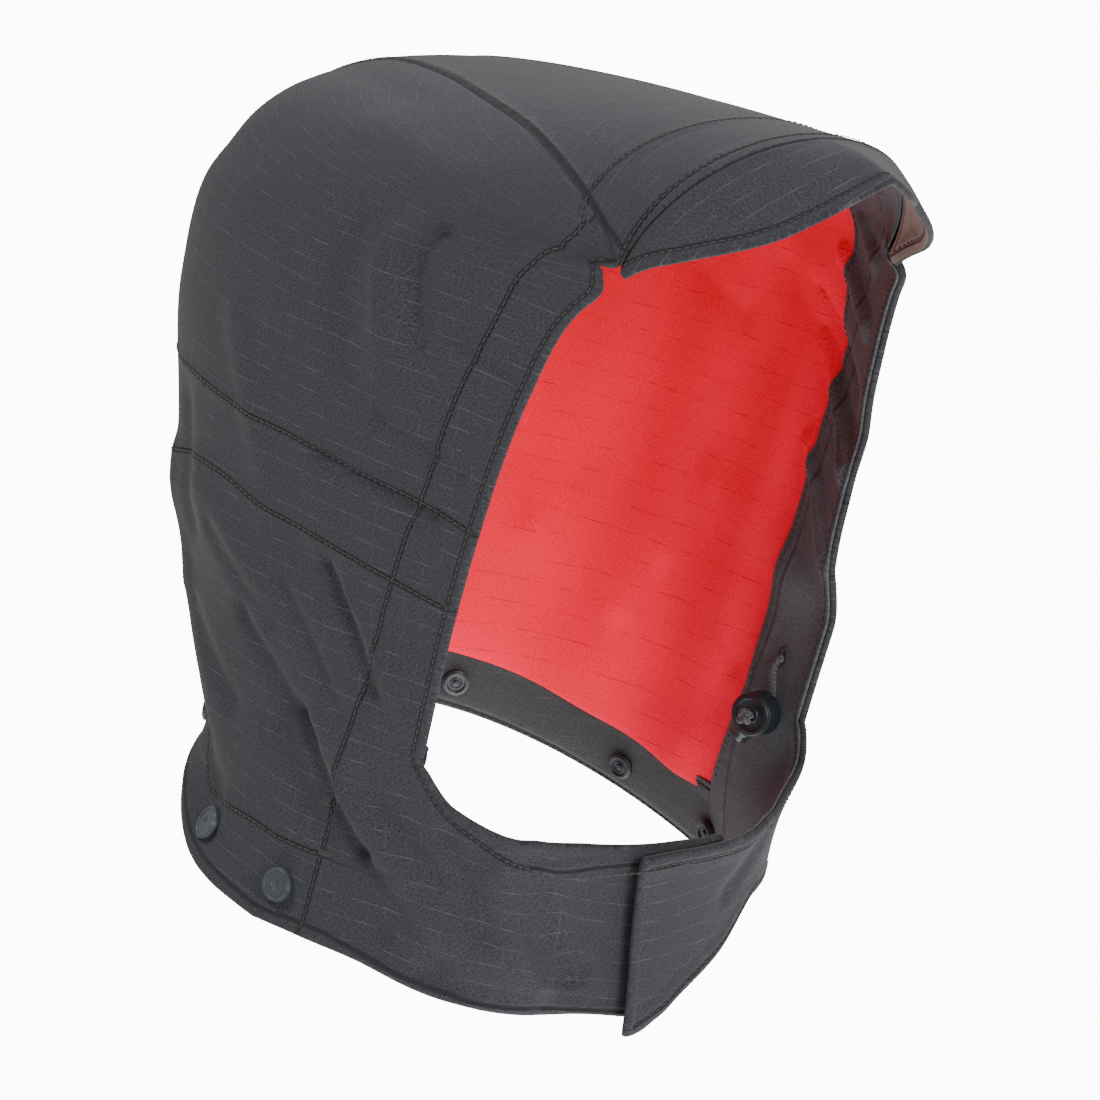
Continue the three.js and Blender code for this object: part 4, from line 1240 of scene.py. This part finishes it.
def small_work(finish: Finish, locks: "CordLocks") -> None:
    """Buttonholes that the cords come out of, and bar tacks at the ends of the band's stitches."""
    vertices: list = []
    faces: list = []
    for side in Side:
        f = locks.frame_of(side)
        across = np.cross(f["inwards"], f["up"])
        a = np.linspace(0, 2 * np.pi, 60)
        centre = f["foot"] + f["up"] * (CORD_ROUTE[0][0] + 0.6) + f["inwards"] * 0.35
        ring = centre + 3.3 * np.cos(a)[:, None] * f["up"] + 1.7 * np.sin(a)[:, None] * across
        add_whipping(ring, np.repeat(f["inwards"][None, :], 60, axis=0), 1.7, vertices, faces)
        level = raw_level(103, 1.72, Side.RIGHT)
        turn = side.value * np.linspace(102.2, 105.0, 8)
        bar = CLOTH.point(turn, np.full(8, level)) + 0.1 * CLOTH.normal(turn, np.full(8, level))
        add_whipping(bar, CLOTH.normal(turn, np.full(8, level)), 1.9, vertices, faces)
    dressed_thread("buttonholes_and_bar_tacks", finish, vertices, faces)


@dataclass
class ClothPieces:
    """Builds the sewn panels from patches of the cloth."""

    finish: Finish
    stitching: Stitching
    step: float = 2.3

    def piece(
        self,
        name: str,
        patch: Patch,
        depths: tuple[float, float],
        lines: Sequence[np.ndarray],
        grain: Callable,
        shape: Callable | None = None,
    ) -> bpy.types.Object:
        """Makes one panel.

        Args:
            name: The piece's name.
            patch: Its places on the cloth.
            depths: Depth of its outer and inner face.
            lines: Lines of stitches, at most six, as points of the plain cloth.
            grain: Place along the cloth's grain from the patch and its points.
            shape: Changes to the depths from the patch and its plain points.

        Returns:
            The piece.
        """
        plain = CLOTH.plain(patch.turn, patch.level)
        points = CLOTH.point(patch.turn, patch.level)
        normals = CLOTH.normal(patch.turn, patch.level)
        outer = np.full(len(points), depths[0])
        inner = np.full(len(points), depths[1])
        if shape:
            outer, inner = shape(patch, plain, outer, inner)
        distances = np.full((len(points), 6), 99.0)
        for k, line in enumerate(lines[:6]):
            _, away, along = near_line(plain, line)
            across = np.cross(along, normals)
            far = np.linalg.norm(away, axis=1)
            sign = np.where(np.einsum("ij,ij->i", away, across) < 0, -1, 1)
            distances[:, k] = far * sign
        uv = np.stack([patch.across, grain(patch, plain)], axis=1) / 100
        carried = {"cloth": uv, "lines_a": distances[:, :3], "lines_b": distances[:, 3:]}
        return Wall(points, normals, patch.quads, outer, inner).build(name, carried)

    def side_levels(self) -> tuple[np.ndarray, np.ndarray]:
        """Levels of a side panel's rows below and above the jaw."""
        low = levels_of(0, JAW_LEVEL, 100, self.step, True, True)
        high = levels_of(JAW_LEVEL, TIP_LEVEL, 100, self.step, False, False)
        return low, high

    def free_edges(self, side: Side, end: float) -> list[np.ndarray]:
        """The edges that are turned in: hem, chin's end, chin's top and face edge."""
        s = side.value
        turns = np.linspace(14, end, 90)
        chin = np.linspace(JAW_TURN, end, 40)
        tops = look_up(CHIN_TOP, chin)
        face = np.linspace(JAW_LEVEL, BROW, 90)
        return [
            CLOTH.plain(s * turns, np.zeros(90)),
            CLOTH.plain(s * chin, tops),
            CLOTH.plain(s * look_up(FACE_EDGE, face), face),
            CLOTH.plain(np.full(30, s * end), np.linspace(0, float(look_up(CHIN_TOP, end)), 30)),
        ]

    def under_tab(self, side: Side, turn: np.ndarray) -> np.ndarray:
        """How far the right band lies under the chin tab."""
        if side is Side.LEFT:
            return np.zeros_like(turn)
        return UNDER_TAB * ramp(138, 160, -turn)

    def shell_shape(self, side: Side, end: float) -> Callable:
        """Depths of a side panel: turned edges are thicker, and the crown seam draws in."""
        edges = self.free_edges(side, end)
        seam_levels = np.linspace(0, BROW, 160)
        seam = CLOTH.plain(side.value * look_up(CROWN_SEAM, seam_levels), seam_levels)

        def shape(patch: Patch, plain: np.ndarray, outer: np.ndarray, inner: np.ndarray) -> Places:
            near = np.min([near_line(plain, line)[0] for line in edges], axis=0)
            shift = self.under_tab(side, patch.turn)
            to_seam = near_line(plain, seam)[0]
            dip = 0.9 * np.exp(-((to_seam / 1.1) ** 2))
            roll = 0.35 * np.exp(-(((near - 1.2) / 1.5) ** 2))
            turned = (TURNED_EDGE - SHELL) * ramp(6, 1.5, near)
            return outer + shift + dip - roll, inner + shift + turned

        return shape

    def side_grain(self, lean: float) -> Callable:
        """Places across the cross yarns, which run forwards and lean down by a share of their length."""

        def grain(patch: Patch, plain: np.ndarray) -> np.ndarray:
            return CLOTH.up_the_grain(patch.turn, patch.level) + lean * patch.across

        return grain

    def shells(self) -> None:
        """Both side panels and the crown panel."""
        s = self.stitching
        for side in Side:
            name = side.name.lower()
            end = CLOTH.chin_end(CHIN_REACH[side])
            patch = Patch.side(crown_seam, front_line, end, self.side_levels(), 100).on(side)
            lines = s.of(side, "edge", "facing", "upper", "lower", "hem", "band")
            shape = self.shell_shape(side, end)
            made = self.piece(f"shell_{name}", patch, (0, SHELL), lines, self.side_grain(0.1), shape)
            dress(made, self.finish.shell, "hood", "slate_ripstop", f"side_panel_{name}")
        levels = levels_of(0, BROW, 6, self.step, True, True)
        patch = Patch.rows(lambda v: -crown_seam(v), crown_seam, levels, 60)
        lines = [line for side in Side for line in s.of(side, "crown")]
        lines.append(CLOTH.plain(*np.array(s.brow).T))
        lines.append(CLOTH.plain(np.linspace(-90, 90, 60), brow_facing_levels(np.linspace(-1, 1, 60))))
        made = self.piece("shell_crown", patch, (0, SHELL), lines, self.crown_grain, self.crown_shape)
        dress(made, self.finish.shell, "hood", "slate_ripstop", "crown_panel")

    def crown_grain(self, patch: Patch, plain: np.ndarray) -> np.ndarray:
        """Place along the middle of the crown."""
        level = np.linspace(0, BROW, 200)
        lengths = lengths_along(CLOTH.plain(np.zeros(200), level))
        return np.interp(patch.level, level, lengths)

    def crown_shape(self, patch: Patch, plain: np.ndarray, outer: np.ndarray, inner: np.ndarray) -> Places:
        """Depths of the crown panel: seam allowances under it lift it beside the crown seams."""
        levels = np.linspace(0, BROW, 160)
        seams = [CLOTH.plain(s * look_up(CROWN_SEAM, levels), levels) for s in (-1, 1)]
        near = np.min([near_line(plain, seam)[0] for seam in seams], axis=0)
        lift = 0.55 * ramp(0.2, 1.2, near) * ramp(3.6, 2.2, near)
        dip = 0.9 * np.exp(-((near / 0.8) ** 2))
        hem = CLOTH.plain(np.linspace(-16, 16, 30), np.zeros(30))
        turned = (TURNED_EDGE - SHELL) * ramp(6, 1.5, near_line(plain, hem)[0])
        return outer + dip - lift, inner + turned

    def linings(self) -> None:
        """The red lining at both sides and under the crown."""
        for side in Side:
            name = side.name.lower()
            levels = levels_of(BAND_LEVEL - 0.12, LINING_LEVEL + 0.04, 80, self.step, False, False)
            patch = Patch.rows(crown_seam, lambda v: rear_line(v) + 0.6, levels, 84).on(side)

            at = np.linspace(BAND_LEVEL, LINING_LEVEL, 80)
            rear = CLOTH.plain(side.value * np.array([rear_line(v) for v in at]), at)
            seam = CLOTH.plain(side.value * look_up(CROWN_SEAM, at), at)

            def shape(patch: Patch, plain: np.ndarray, outer: np.ndarray, inner: np.ndarray) -> Places:
                y, z = plain[:, 1], plain[:, 2]
                sway = np.sin(y / 8 + z / 19) + np.sin(z / 13 - y / 21 + 1)
                hang = ramp(2, 22, near_line(plain, rear)[0]) * ramp(2, 16, near_line(plain, seam)[0])
                return outer, inner + LINING_SWELL * (1 + sway / 2) * hang

            grain = self.side_grain(0.02)
            made = self.piece(f"red_{name}", patch, (LINING_TOP, LINING_FACE), [], grain, shape)
            dress(made, self.finish.lining, "hood", "red_ripstop", f"lining_{name}")
        levels = levels_of(BAND_LEVEL - 0.12, LINING_LEVEL, 6, self.step, False, False)
        patch = Patch.rows(lambda v: -crown_seam(v), crown_seam, levels, 60)
        bend = ramp(LINING_LEVEL - 2, LINING_LEVEL, patch.level)
        half = look_up(CROWN_SEAM, patch.level)
        patch.level = patch.level + bend * (brow_facing_levels(patch.turn / half) - LINING_LEVEL)
        made = self.piece("red_crown", patch, (LINING_TOP, LINING_FACE), [], self.crown_grain)
        dress(made, self.finish.lining, "hood", "red_ripstop", "lining_crown")

    def facings(self) -> None:
        """The dark facings round the face, the brow facing and the neck band."""
        s = self.stitching
        depths = (FACING_TOP, FACING_FACE)
        for side in Side:
            name = side.name.lower()
            end = CLOTH.chin_end(CHIN_REACH[side]) - 0.5
            low = levels_of(0.03, JAW_LEVEL, 110, self.step, True, True)
            high = levels_of(JAW_LEVEL, TIP_LEVEL, 110, self.step, False, False)
            patch = Patch.side(inside_rear_line, facing_front_line, end, (low, high), 22).on(side)

            def shape(patch: Patch, plain: np.ndarray, outer: np.ndarray, inner: np.ndarray) -> Places:
                shift = self.under_tab(side, patch.turn)
                return outer + shift, inner + shift

            lines = s.of(side, "edge", "facing", "hem")
            made = self.piece(f"inside_facing_{name}", patch, depths, lines, self.side_grain(0.25), shape)
            dress(made, self.finish.facing, "hood", "dark_facing", f"facing_{name}")
        levels = levels_of(LINING_LEVEL, BROW - 0.01, 6, self.step, True, True)
        patch = Patch.rows(lambda v: -crown_seam(v), crown_seam, levels, 70)
        bend = (BROW - patch.level) / (BROW - LINING_LEVEL)
        half = look_up(CROWN_SEAM, patch.level)
        patch.level = patch.level + bend * (brow_facing_levels(patch.turn / half) - LINING_LEVEL)
        brow = CLOTH.plain(*np.array(s.brow).T)
        depths = (FACING_TOP, FACING_FACE - 0.4)
        made = self.piece("inside_facing_brow", patch, depths, [brow], self.crown_grain)
        dress(made, self.finish.facing, "hood", "dark_facing", "facing_brow")
        levels = levels_of(0.03, BAND_LEVEL, 60, self.step, True, True)
        patch = Patch.rows(lambda v: -BAND_TURN - 1.5, lambda v: BAND_TURN + 1.5, levels, 190)
        turns = np.linspace(0, BAND_TURN, 80)
        band_top = [CLOTH.plain(sign * turns, np.full(80, BAND_LEVEL - 0.05)) for sign in (-1, 1)]
        hems = s.of(Side.RIGHT, "hem") + s.of(Side.LEFT, "hem")
        depths = (FACING_TOP - 0.25, FACING_FACE - 0.25)
        made = self.piece("inside_neck_band", patch, depths, band_top + hems, self.side_grain(0.0))
        dress(made, self.finish.band, "hood", "dark_facing", "neck_band")

    def patches(self) -> None:
        """Hook and loop patches between the chin tab and the right band."""
        start = -CLOTH.chin_end(PATCH_LENGTH - TAB_REACH)
        end = -(180 - (TAB_REACH - 4) / CLOTH.span(180, 2))
        levels = np.linspace(0.35, 2.3, 26)
        for name, node, depth, finish in (
            ("hook_patch", "chin_hook_patch", 3.7, self.finish.hooks),
            ("loop_patch", "chin_loop_patch", 5.2, self.finish.loops),
        ):
            patch = Patch.rows(lambda v: start, lambda v: end, levels, 16)
            made = self.piece(name, patch, (depth - 0.3, depth + 1.0), [], self.crown_grain)
            dress(made, finish, "hood", "touch_and_close", node)


def brow_facing_levels(share: np.ndarray) -> np.ndarray:
    """Level of the brow facing's rear edge at shares of the crown's half width."""
    return BROW_FACING_LEVEL + (LINING_LEVEL - BROW_FACING_LEVEL) * share**2


@dataclass
class Peak:
    """The stiffened peak, sewn to the brow seam."""

    finish: Finish
    columns: int = 150
    rows: int = 26
    corner: float = 0.97
    thickness: float = 2.2

    def point(self, at: np.ndarray, out: np.ndarray) -> np.ndarray:
        """Points of the peak's top.

        Args:
            at: From the right temple (-1) to the left (1).
            out: From the seam (0) to the edge (1).

        Returns:
            The points.
        """
        root = CLOTH.point(at * face_edge(BROW), np.full_like(at, BROW))
        reach = PEAK_LENGTH * look_up(PEAK_REACH, np.abs(at))
        droop = np.radians(look_up(PEAK_DROOP, np.abs(at)))
        zero = np.zeros_like(droop)
        forward = np.stack([zero, -np.cos(droop), -np.sin(droop)], -1)
        bow = np.stack([zero, -np.sin(droop), np.cos(droop)], -1)
        start = 0.35
        length = start + out * (reach - start)
        return root + forward * length[:, None] + bow * (PEAK_ARCH * reach * 4 * out * (1 - out))[:, None]

    def normal(self, at: np.ndarray, out: np.ndarray) -> np.ndarray:
        """Unit normals of the peak's top."""
        round_it = self.point(np.minimum(at + 0.004, 1), out) - self.point(np.maximum(at - 0.004, -1), out)
        ahead = self.point(at, out + 0.03) - self.point(at, out - 0.03)
        return unit(np.cross(round_it, ahead)) * -1

    def build(self) -> None:
        """Makes the peak with its rolled edge and two lines of stitches."""
        angles = np.linspace(-math.pi / 2, math.pi / 2, self.columns) * 0.9
        at = self.corner * np.sin(angles) / math.sin(0.45 * math.pi)
        steps = spread(PEAK_LENGTH, self.rows) / PEAK_LENGTH
        across, out = np.meshgrid(at, steps)
        across, out = across.ravel(), out.ravel()
        points, normals = self.point(across, out), self.normal(across, out)
        normals = normals * np.sign(normals[len(normals) // 2, 2])
        ids = np.arange(len(points)).reshape(len(steps), len(at))
        reach = PEAK_LENGTH * look_up(PEAK_REACH, np.abs(across))
        to_edge = (1 - out) * reach
        from_seam = out * reach
        dip = 0.8 * np.exp(-((from_seam / 1.0) ** 2))
        roll = 0.25 * np.exp(-(((to_edge - 1.3) / 1.4) ** 2))
        lines_a = np.stack([to_edge - 3.4, from_seam - 0.3, np.full_like(out, 99.0)], 1)
        seam = lengths_along(self.point(at, np.zeros_like(at)))
        uv = np.stack([np.interp(across, at, seam), from_seam], 1) / 100
        carried = {"cloth": uv, "lines_a": lines_a, "lines_b": np.full_like(lines_a, 99.0)}
        under = np.full(len(points), self.thickness)
        wall = Wall(points, normals, quads_of(ids), dip - roll, under, bulge=0.9)
        dress(wall.build("stiff_peak", carried), self.finish.peak, "hood", "slate_ripstop", "peak")
        vertices: list = []
        faces: list = []
        inset = np.linspace(-0.93, 0.93, 240)
        place = 1 - 3.4 / np.maximum(PEAK_LENGTH * look_up(PEAK_REACH, np.abs(inset)), 4.2)
        line, up = self.point(inset, place), self.normal(inset, place)
        up = up * np.sign(up[120, 2])
        add_stitches(line, up, vertices, faces)
        add_stitches(line - up * (self.thickness + 0.05), -up, vertices, faces)
        dressed_thread("peak_topstitch", self.finish, vertices, faces)


# Hard pieces


def select_only(made: bpy.types.Object) -> None:
    """Leaves one object selected and active."""
    bpy.ops.object.select_all(action="DESELECT")
    made.select_set(True)
    bpy.context.view_layer.objects.active = made


def pick_faces(made: bpy.types.Object, test: Callable) -> None:
    """Selects the faces of an object in edit mode that pass a test on centre and normal."""
    bpy.ops.mesh.select_all(action="DESELECT")
    bpy.ops.object.mode_set(mode="OBJECT")
    for face in made.data.polygons:
        face.select = test(face.center, face.normal)
    bpy.ops.object.mode_set(mode="EDIT")


def finish_hard(made: bpy.types.Object, width: float, segments: int = 3, angle: float = 35) -> None:
    """Rounds an object's edges and smooths it."""
    select_only(made)
    bevel = made.modifiers.new("rounded edges", "BEVEL")
    bevel.width = width
    bevel.segments = segments
    bevel.limit_method = "ANGLE"
    bevel.angle_limit = math.radians(angle)
    bpy.ops.object.modifier_apply(modifier=bevel.name)
    bpy.ops.object.shade_smooth_by_angle(angle=math.radians(40))


def is_middle(level: float, centre: Vector, normal: Vector) -> bool:
    """Whether a face is the round one in the middle of a disc's top, at a height."""
    return normal.z > 0.9 and abs(centre.z - level) < 1e-3 and centre.xy.length < 0.05


def turned_disc(name: str, radius: float, height: float, steps: PlacePairs) -> bpy.types.Object:
    """A round piece from a cylinder, whose top is inset and pushed in or pulled out step by step.

    Args:
        name: The piece's name.
        radius: Its radius in mm.
        height: Its height in mm before the steps.
        steps: For each step how far the face is inset and how far it then moves up, in mm.

    Returns:
        The object, standing on z = 0, in mm.
    """
    bpy.ops.object.select_all(action="DESELECT")
    bpy.ops.mesh.primitive_cylinder_add(vertices=48, radius=radius, depth=height, location=(0, 0, height / 2))
    made = bpy.context.active_object
    made.name = name
    bpy.ops.object.mode_set(mode="EDIT")
    top = height
    for inset, move in steps:
        pick_faces(made, partial(is_middle, top - height / 2))
        bpy.ops.mesh.inset(thickness=inset)
        if move:
            bpy.ops.mesh.extrude_region_move(TRANSFORM_OT_translate={"value": (0, 0, move)})
        top += move
    bpy.ops.object.mode_set(mode="OBJECT")
    bpy.ops.object.transform_apply(location=True, rotation=False, scale=False)
    return made


def basis(point: np.ndarray, normal: np.ndarray, towards: np.ndarray) -> Matrix:
    """A placing that puts z along a normal and x towards a direction, from mm to the part's metres."""
    z = unit(normal)
    x = unit(towards - z * (towards @ z))
    y = np.cross(z, x)
    place = CLOTH.to_part(point)
    rows = [[x[i] / 1000, y[i] / 1000, z[i] / 1000, place[i]] for i in range(3)]
    return Matrix(rows + [[0, 0, 0, 1]])


def copy_of(model: bpy.types.Object, name: str, placing: Matrix) -> bpy.types.Object:
    """A copy with its own mesh, placed."""
    mesh = model.data.copy()
    mesh.name = name
    mesh.transform(placing)
    return link(name, mesh)


def remove(*models: bpy.types.Object) -> None:
    """Deletes objects that were only models for copies."""
    for model in models:
        bpy.data.objects.remove(model, do_unlink=True)


@dataclass
class Snaps:
    """Seven press snaps, a cap outside and a socket inside each."""

    finish: Finish
    cap_radius: float = 6.2
    socket_radius: float = 4.9
    shares: tuple[float, ...] = (0.0, 0.178, 0.388, 0.53)

    def turn_at(self, share: float) -> float:
        """The turn at a share of half the snap row's length."""
        turn = 180 * np.arange(361) / 360
        lengths = lengths_along(CLOTH.plain(turn, np.full(361, SNAP_ROW)))
        return float(turn[np.argmax(lengths >= share * lengths[-1])])

    def models(self) -> tuple[bpy.types.Object, bpy.types.Object]:
        """One cap and one socket to copy, each with a foot that reaches the cloth."""
        cap = turned_disc("cap model", self.cap_radius * 0.97, 1.7, CAP_STEPS)
        finish_hard(cap, 0.22)
        socket = turned_disc("socket model", self.socket_radius, 1.5, SOCKET_STEPS)
        finish_hard(socket, 0.14)
        return cap, socket

    def build(self) -> None:
        """Copies the models to each place."""
        cap_model, socket_model = self.models()
        turns = sorted({sign * self.turn_at(s) for s in self.shares for sign in (-1, 1)})
        for number, turn in enumerate(turns, 1):
            at = np.array([float(turn)]), np.array([SNAP_ROW])
            point, out = CLOTH.point(*at)[0], CLOTH.normal(*at)[0]
            up = CLOTH.rise(turn, SNAP_ROW - 0.05, SNAP_ROW + 0.05)
            cap = copy_of(cap_model, f"snap_button_{number}", basis(point + out * 0.55, out, up))
            dress(cap, self.finish.cap, "hood", "snap_plastic", f"snap_cap_{number}")
            inwards = point - out * (FACING_FACE + 0.35)
            socket = copy_of(socket_model, f"snap_ring_{number}", basis(inwards, -out, up))
            dress(socket, self.finish.plastic, "hood", "snap_plastic", f"snap_socket_{number}")
        remove(cap_model, socket_model)


@dataclass
class CordLocks:
    """A cord lock at each side of the face opening, with its elastic cord and knot."""

    finish: Finish
    radius: float = 8.0
    height: float = 8.5
    standoff: float = 5.2
    tilt: float = 18.0
    turn: float = 27.0
    tail: float = 4.2
    knot_radius: float = 3.1
    cord_radius: float = 1.2

    def frame_of(self, side: Side) -> dict[str, np.ndarray]:
        """The lock's place and directions on a facing."""
        s = side.value
        turn = s * CLOTH.behind_face_edge(LOCK_INSET, LOCK_LEVEL)
        at = np.array([turn]), np.array([LOCK_LEVEL])
        inwards = -CLOTH.normal(*at)[0]
        up = CLOTH.rise(turn, LOCK_LEVEL - 0.05, LOCK_LEVEL + 0.05)
        up = unit(up - inwards * (up @ inwards))
        foot = CLOTH.point(*at)[0] + inwards * INNER_FACE
        axis = np.array(Matrix.Rotation(math.radians(s * self.tilt), 3, Vector(up)) @ Vector(inwards))
        turned = np.array(Matrix.Rotation(math.radians(-s * self.turn), 3, Vector(axis)) @ Vector(up))
        back = foot + inwards * self.standoff
        return {"foot": foot, "inwards": inwards, "up": up, "axis": axis, "turned": turned, "back": back}

    def route(self, side: Side) -> np.ndarray:
        """The cord's points from the buttonhole to the knot, in mm."""
        f = self.frame_of(side)
        points = [f["foot"] + f["up"] * up + f["inwards"] * out for up, out in CORD_ROUTE]
        front = self.height + self.tail - self.knot_radius - 0.4
        points += [f["back"] + f["axis"] * (share * front) for share in (0.25, 0.5, 0.75, 1.0)]
        return np.array(points)

    def smooth_route(self, side: Side) -> np.ndarray:
        """The route as a smooth line of many points."""
        points = self.route(side)
        lengths = lengths_along(points)
        steps = np.linspace(0, lengths[-1], 90)
        return np.stack([look_up(list(zip(lengths, points[:, k])), steps) for k in range(3)], axis=1)

    def cords(self) -> None:
        """Both cords, as tubes along their routes, with their knots."""
        for side in Side:
            name = side.name.lower()
            line = self.smooth_route(side)
            tube, length = self.tube(f"stretch_cord_{name}", line, self.cord_radius)
            dress(tube, self.finish.cord, "hood", "elastic_cord", f"elastic_cord_{name}")
            knot = self.knot(side)
            dress(knot, self.finish.cord, "hood", "elastic_cord", f"cord_knot_{name}")
            path = [tuple(p) for p in CLOTH.to_part(line)]
            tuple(path[0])
            LOG.info("cord %s: %.1f mm", name, length)

    def tube(self, name: str, line: np.ndarray, radius: float) -> tuple[bpy.types.Object, float]:
        """A ribbed tube along a line, with its length in mm."""
        lengths = lengths_along(line)
        sides = 16
        ahead = unit(np.gradient(line, axis=0))
        side = unit(np.cross(ahead, np.array([0.31, 0.52, 0.79])))
        up = np.cross(side, ahead)
        angle = 2 * np.pi * np.arange(sides) / sides
        ribs = 1 + 0.05 * np.cos(2 * np.pi * lengths / 0.9)
        ring = np.cos(angle)[None, :, None] * side[:, None, :] + np.sin(angle)[None, :, None] * up[:, None, :]
        vertices = (line[:, None, :] + radius * ribs[:, None, None] * ring).reshape(-1, 3)
        ids = np.arange(len(vertices)).reshape(len(line), sides)
        around = np.concatenate([ids, ids[:, :1]], axis=1)
        faces = quads_of(around).tolist() + [list(ids[0]), list(ids[-1][::-1])]
        made = smooth_object(name, vertices, faces)
        uv = np.stack([np.tile(angle / (2 * np.pi), len(line)), np.repeat(lengths / 1.8, sides)], 1)
        add_numbers(made.data, "cloth", uv)
        select_only(made)
        bpy.ops.object.mode_set(mode="EDIT")
        bpy.ops.mesh.select_all(action="SELECT")
        bpy.ops.mesh.normals_make_consistent(inside=False)
        bpy.ops.object.mode_set(mode="OBJECT")
        return made, float(lengths[-1])

    def knot(self, side: Side) -> bpy.types.Object:
        """The knot at the cord's end: an overhand knot pulled tight, with a short tail."""
        f = self.frame_of(side)
        t = np.linspace(0, 2 * np.pi, 120)
        turned, over, up = np.sin(t) + 2 * np.sin(2 * t), np.cos(t) - 2 * np.cos(2 * t), -1.25 * np.sin(3 * t)
        across = np.cross(f["axis"], f["turned"])
        size = (self.knot_radius - 0.95) / 3.0
        centre = f["back"] + f["axis"] * (self.height + self.tail - 0.2)
        ways = ((turned, f["turned"]), (over, across), (0.9 * up, f["axis"]))
        line = centre + size * sum(amount[:, None] * way for amount, way in ways)
        made, _ = self.tube(f"knot_{side.name.lower()}", line, 1.05)
        return made

    def body(self) -> bpy.types.Object:
        """The barrel of a lock, in its own frame in mm: a hole along z and a bore at -x."""
        made = turned_disc("barrel model", self.radius, self.height - 0.4, BARREL_STEPS)
        finish_hard(made, 0.45, 4, 50)
        bpy.ops.object.select_all(action="DESELECT")
        bpy.ops.mesh.primitive_cylinder_add(
            vertices=40, radius=4.3, depth=2.8, location=(-7.2, 0, self.height / 2),
            rotation=(0, math.pi / 2, 0),
        )
        collar = bpy.context.active_object
        bpy.ops.object.transform_apply(location=True, rotation=True, scale=True)
        finish_hard(collar, 0.4)
        select_only(made)
        collar.select_set(True)
        bpy.ops.object.join()
        return made

    def button(self) -> bpy.types.Object:
        """The push button, with ridges on its end."""
        inner, outer = self.radius - 2.0, self.radius + 3.6
        bpy.ops.object.select_all(action="DESELECT")
        bpy.ops.mesh.primitive_cylinder_add(
            vertices=40, radius=3.2, depth=outer - inner, location=(-(inner + outer) / 2, 0, self.height / 2),
            rotation=(0, math.pi / 2, 0),
        )
        made = bpy.context.active_object
        bpy.ops.object.transform_apply(location=True, rotation=True, scale=True)
        bpy.ops.object.mode_set(mode="EDIT")
        pick_faces(made, lambda centre, normal: normal.x < -0.9)
        bpy.ops.mesh.inset(thickness=0.55)
        bpy.ops.mesh.extrude_region_move(TRANSFORM_OT_translate={"value": (0.35, 0, 0)})
        bpy.ops.mesh.inset(thickness=0.8)
        bpy.ops.mesh.extrude_region_move(TRANSFORM_OT_translate={"value": (-0.3, 0, 0)})
        bpy.ops.object.mode_set(mode="OBJECT")
        finish_hard(made, 0.3)
        return made

    def build(self) -> None:
        """Places the locks."""
        body, button = self.body(), self.button()
        for side in Side:
            f = self.frame_of(side)
            name = side.name.lower()
            placing = basis(f["back"], f["axis"], f["turned"])
            lock = copy_of(body, f"lock_barrel_{name}", placing)
            dress(lock, self.finish.plastic, "hood", "snap_plastic", f"cord_lock_{name}")
            press = copy_of(button, f"lock_press_{name}", placing)
            if side is Side.LEFT:
                dress(press, self.finish.plastic, "cord_lock_button", "snap_plastic", "cord_lock_button_left")
            else:
                dress(press, self.finish.plastic, "hood", "snap_plastic")
        remove(body, button)


@dataclass
class Studio:
    """The photograph's camera, and soft light in a white room."""

    azimuth: float = -42.0
    elevation: float = 6.0
    distance: float = 2.0
    lens: float = 187.85
    target: tuple[float, float, float] = (0.0, -0.072055, -0.167419)

    def camera(self) -> None:
        """A long lens at the photograph's viewing angle."""
        a, e = math.radians(self.azimuth), math.radians(self.elevation)
        away = Vector((math.sin(a) * math.cos(e), -math.cos(a) * math.cos(e), math.sin(e)))
        data = bpy.data.cameras.new("photo camera")
        data.lens = self.lens
        data.sensor_width = 36.0
        data.sensor_fit = "HORIZONTAL"
        made = link("photo camera", data)
        made.location = Vector(self.target) + away * self.distance
        made.rotation_euler = away.to_track_quat("Z", "Y").to_euler()
        bpy.context.scene.camera = made

    def lights(self) -> None:
        """A key above, a fill in front, a rim light and a soft light from below, in a white room."""
        for name, place, size, power in (
            ("key", (-1.3, 0.5, 2.1), 0.7, 86.0),
            ("front", (-0.5, -2.5, 0.2), 0.9, 84.0),
            ("rim", (1.9, 0.3, 1.4), 1.0, 24.0),
            ("bounce", (0.0, -0.2, -1.1), 1.6, 40.0),
        ):
            data = bpy.data.lights.new(name, "AREA")
            data.size = size
            data.energy = power
            made = link(name, data)
            made.location = place
            made.rotation_euler = (Vector(place) - Vector(self.target)).to_track_quat("Z", "Y").to_euler()
        world = bpy.data.worlds.new("white room")
        world.use_nodes = True
        tree = world.node_tree
        room = tree.nodes["Background"]
        # A photograph's white background, and far less light from it on the hood
        seen = add_node(tree, "ShaderNodeLightPath").outputs["Is Camera Ray"]
        strength = add_node(tree, "ShaderNodeMapRange", {0: seen, 3: 0.85, 4: 12.0}).outputs[0]
        tree.links.new(strength, room.inputs[1])
        room.inputs[0].default_value = (1.0, 1.0, 1.0, 1.0)
        bpy.context.scene.world = world


def main() -> None:
    """Builds the studio, the cords and then the rest of the hood."""
    logging.basicConfig(level=logging.INFO, format="%(message)s")
    LOG.info("origin %s", CLOTH.origin)
    studio = Studio()
    studio.camera()
    finish = Finish()
    locks = CordLocks(finish)
    locks.cords()
    studio.lights()
    stitching = Stitching()
    cloth = ClothPieces(finish, stitching)
    cloth.shells()
    cloth.linings()
    cloth.facings()
    cloth.patches()
    Peak(finish).build()
    stitching.sew(finish)
    small_work(finish, locks)
    Snaps(finish).build()
    locks.build()
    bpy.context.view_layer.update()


if __name__ == "__main__":
    main()
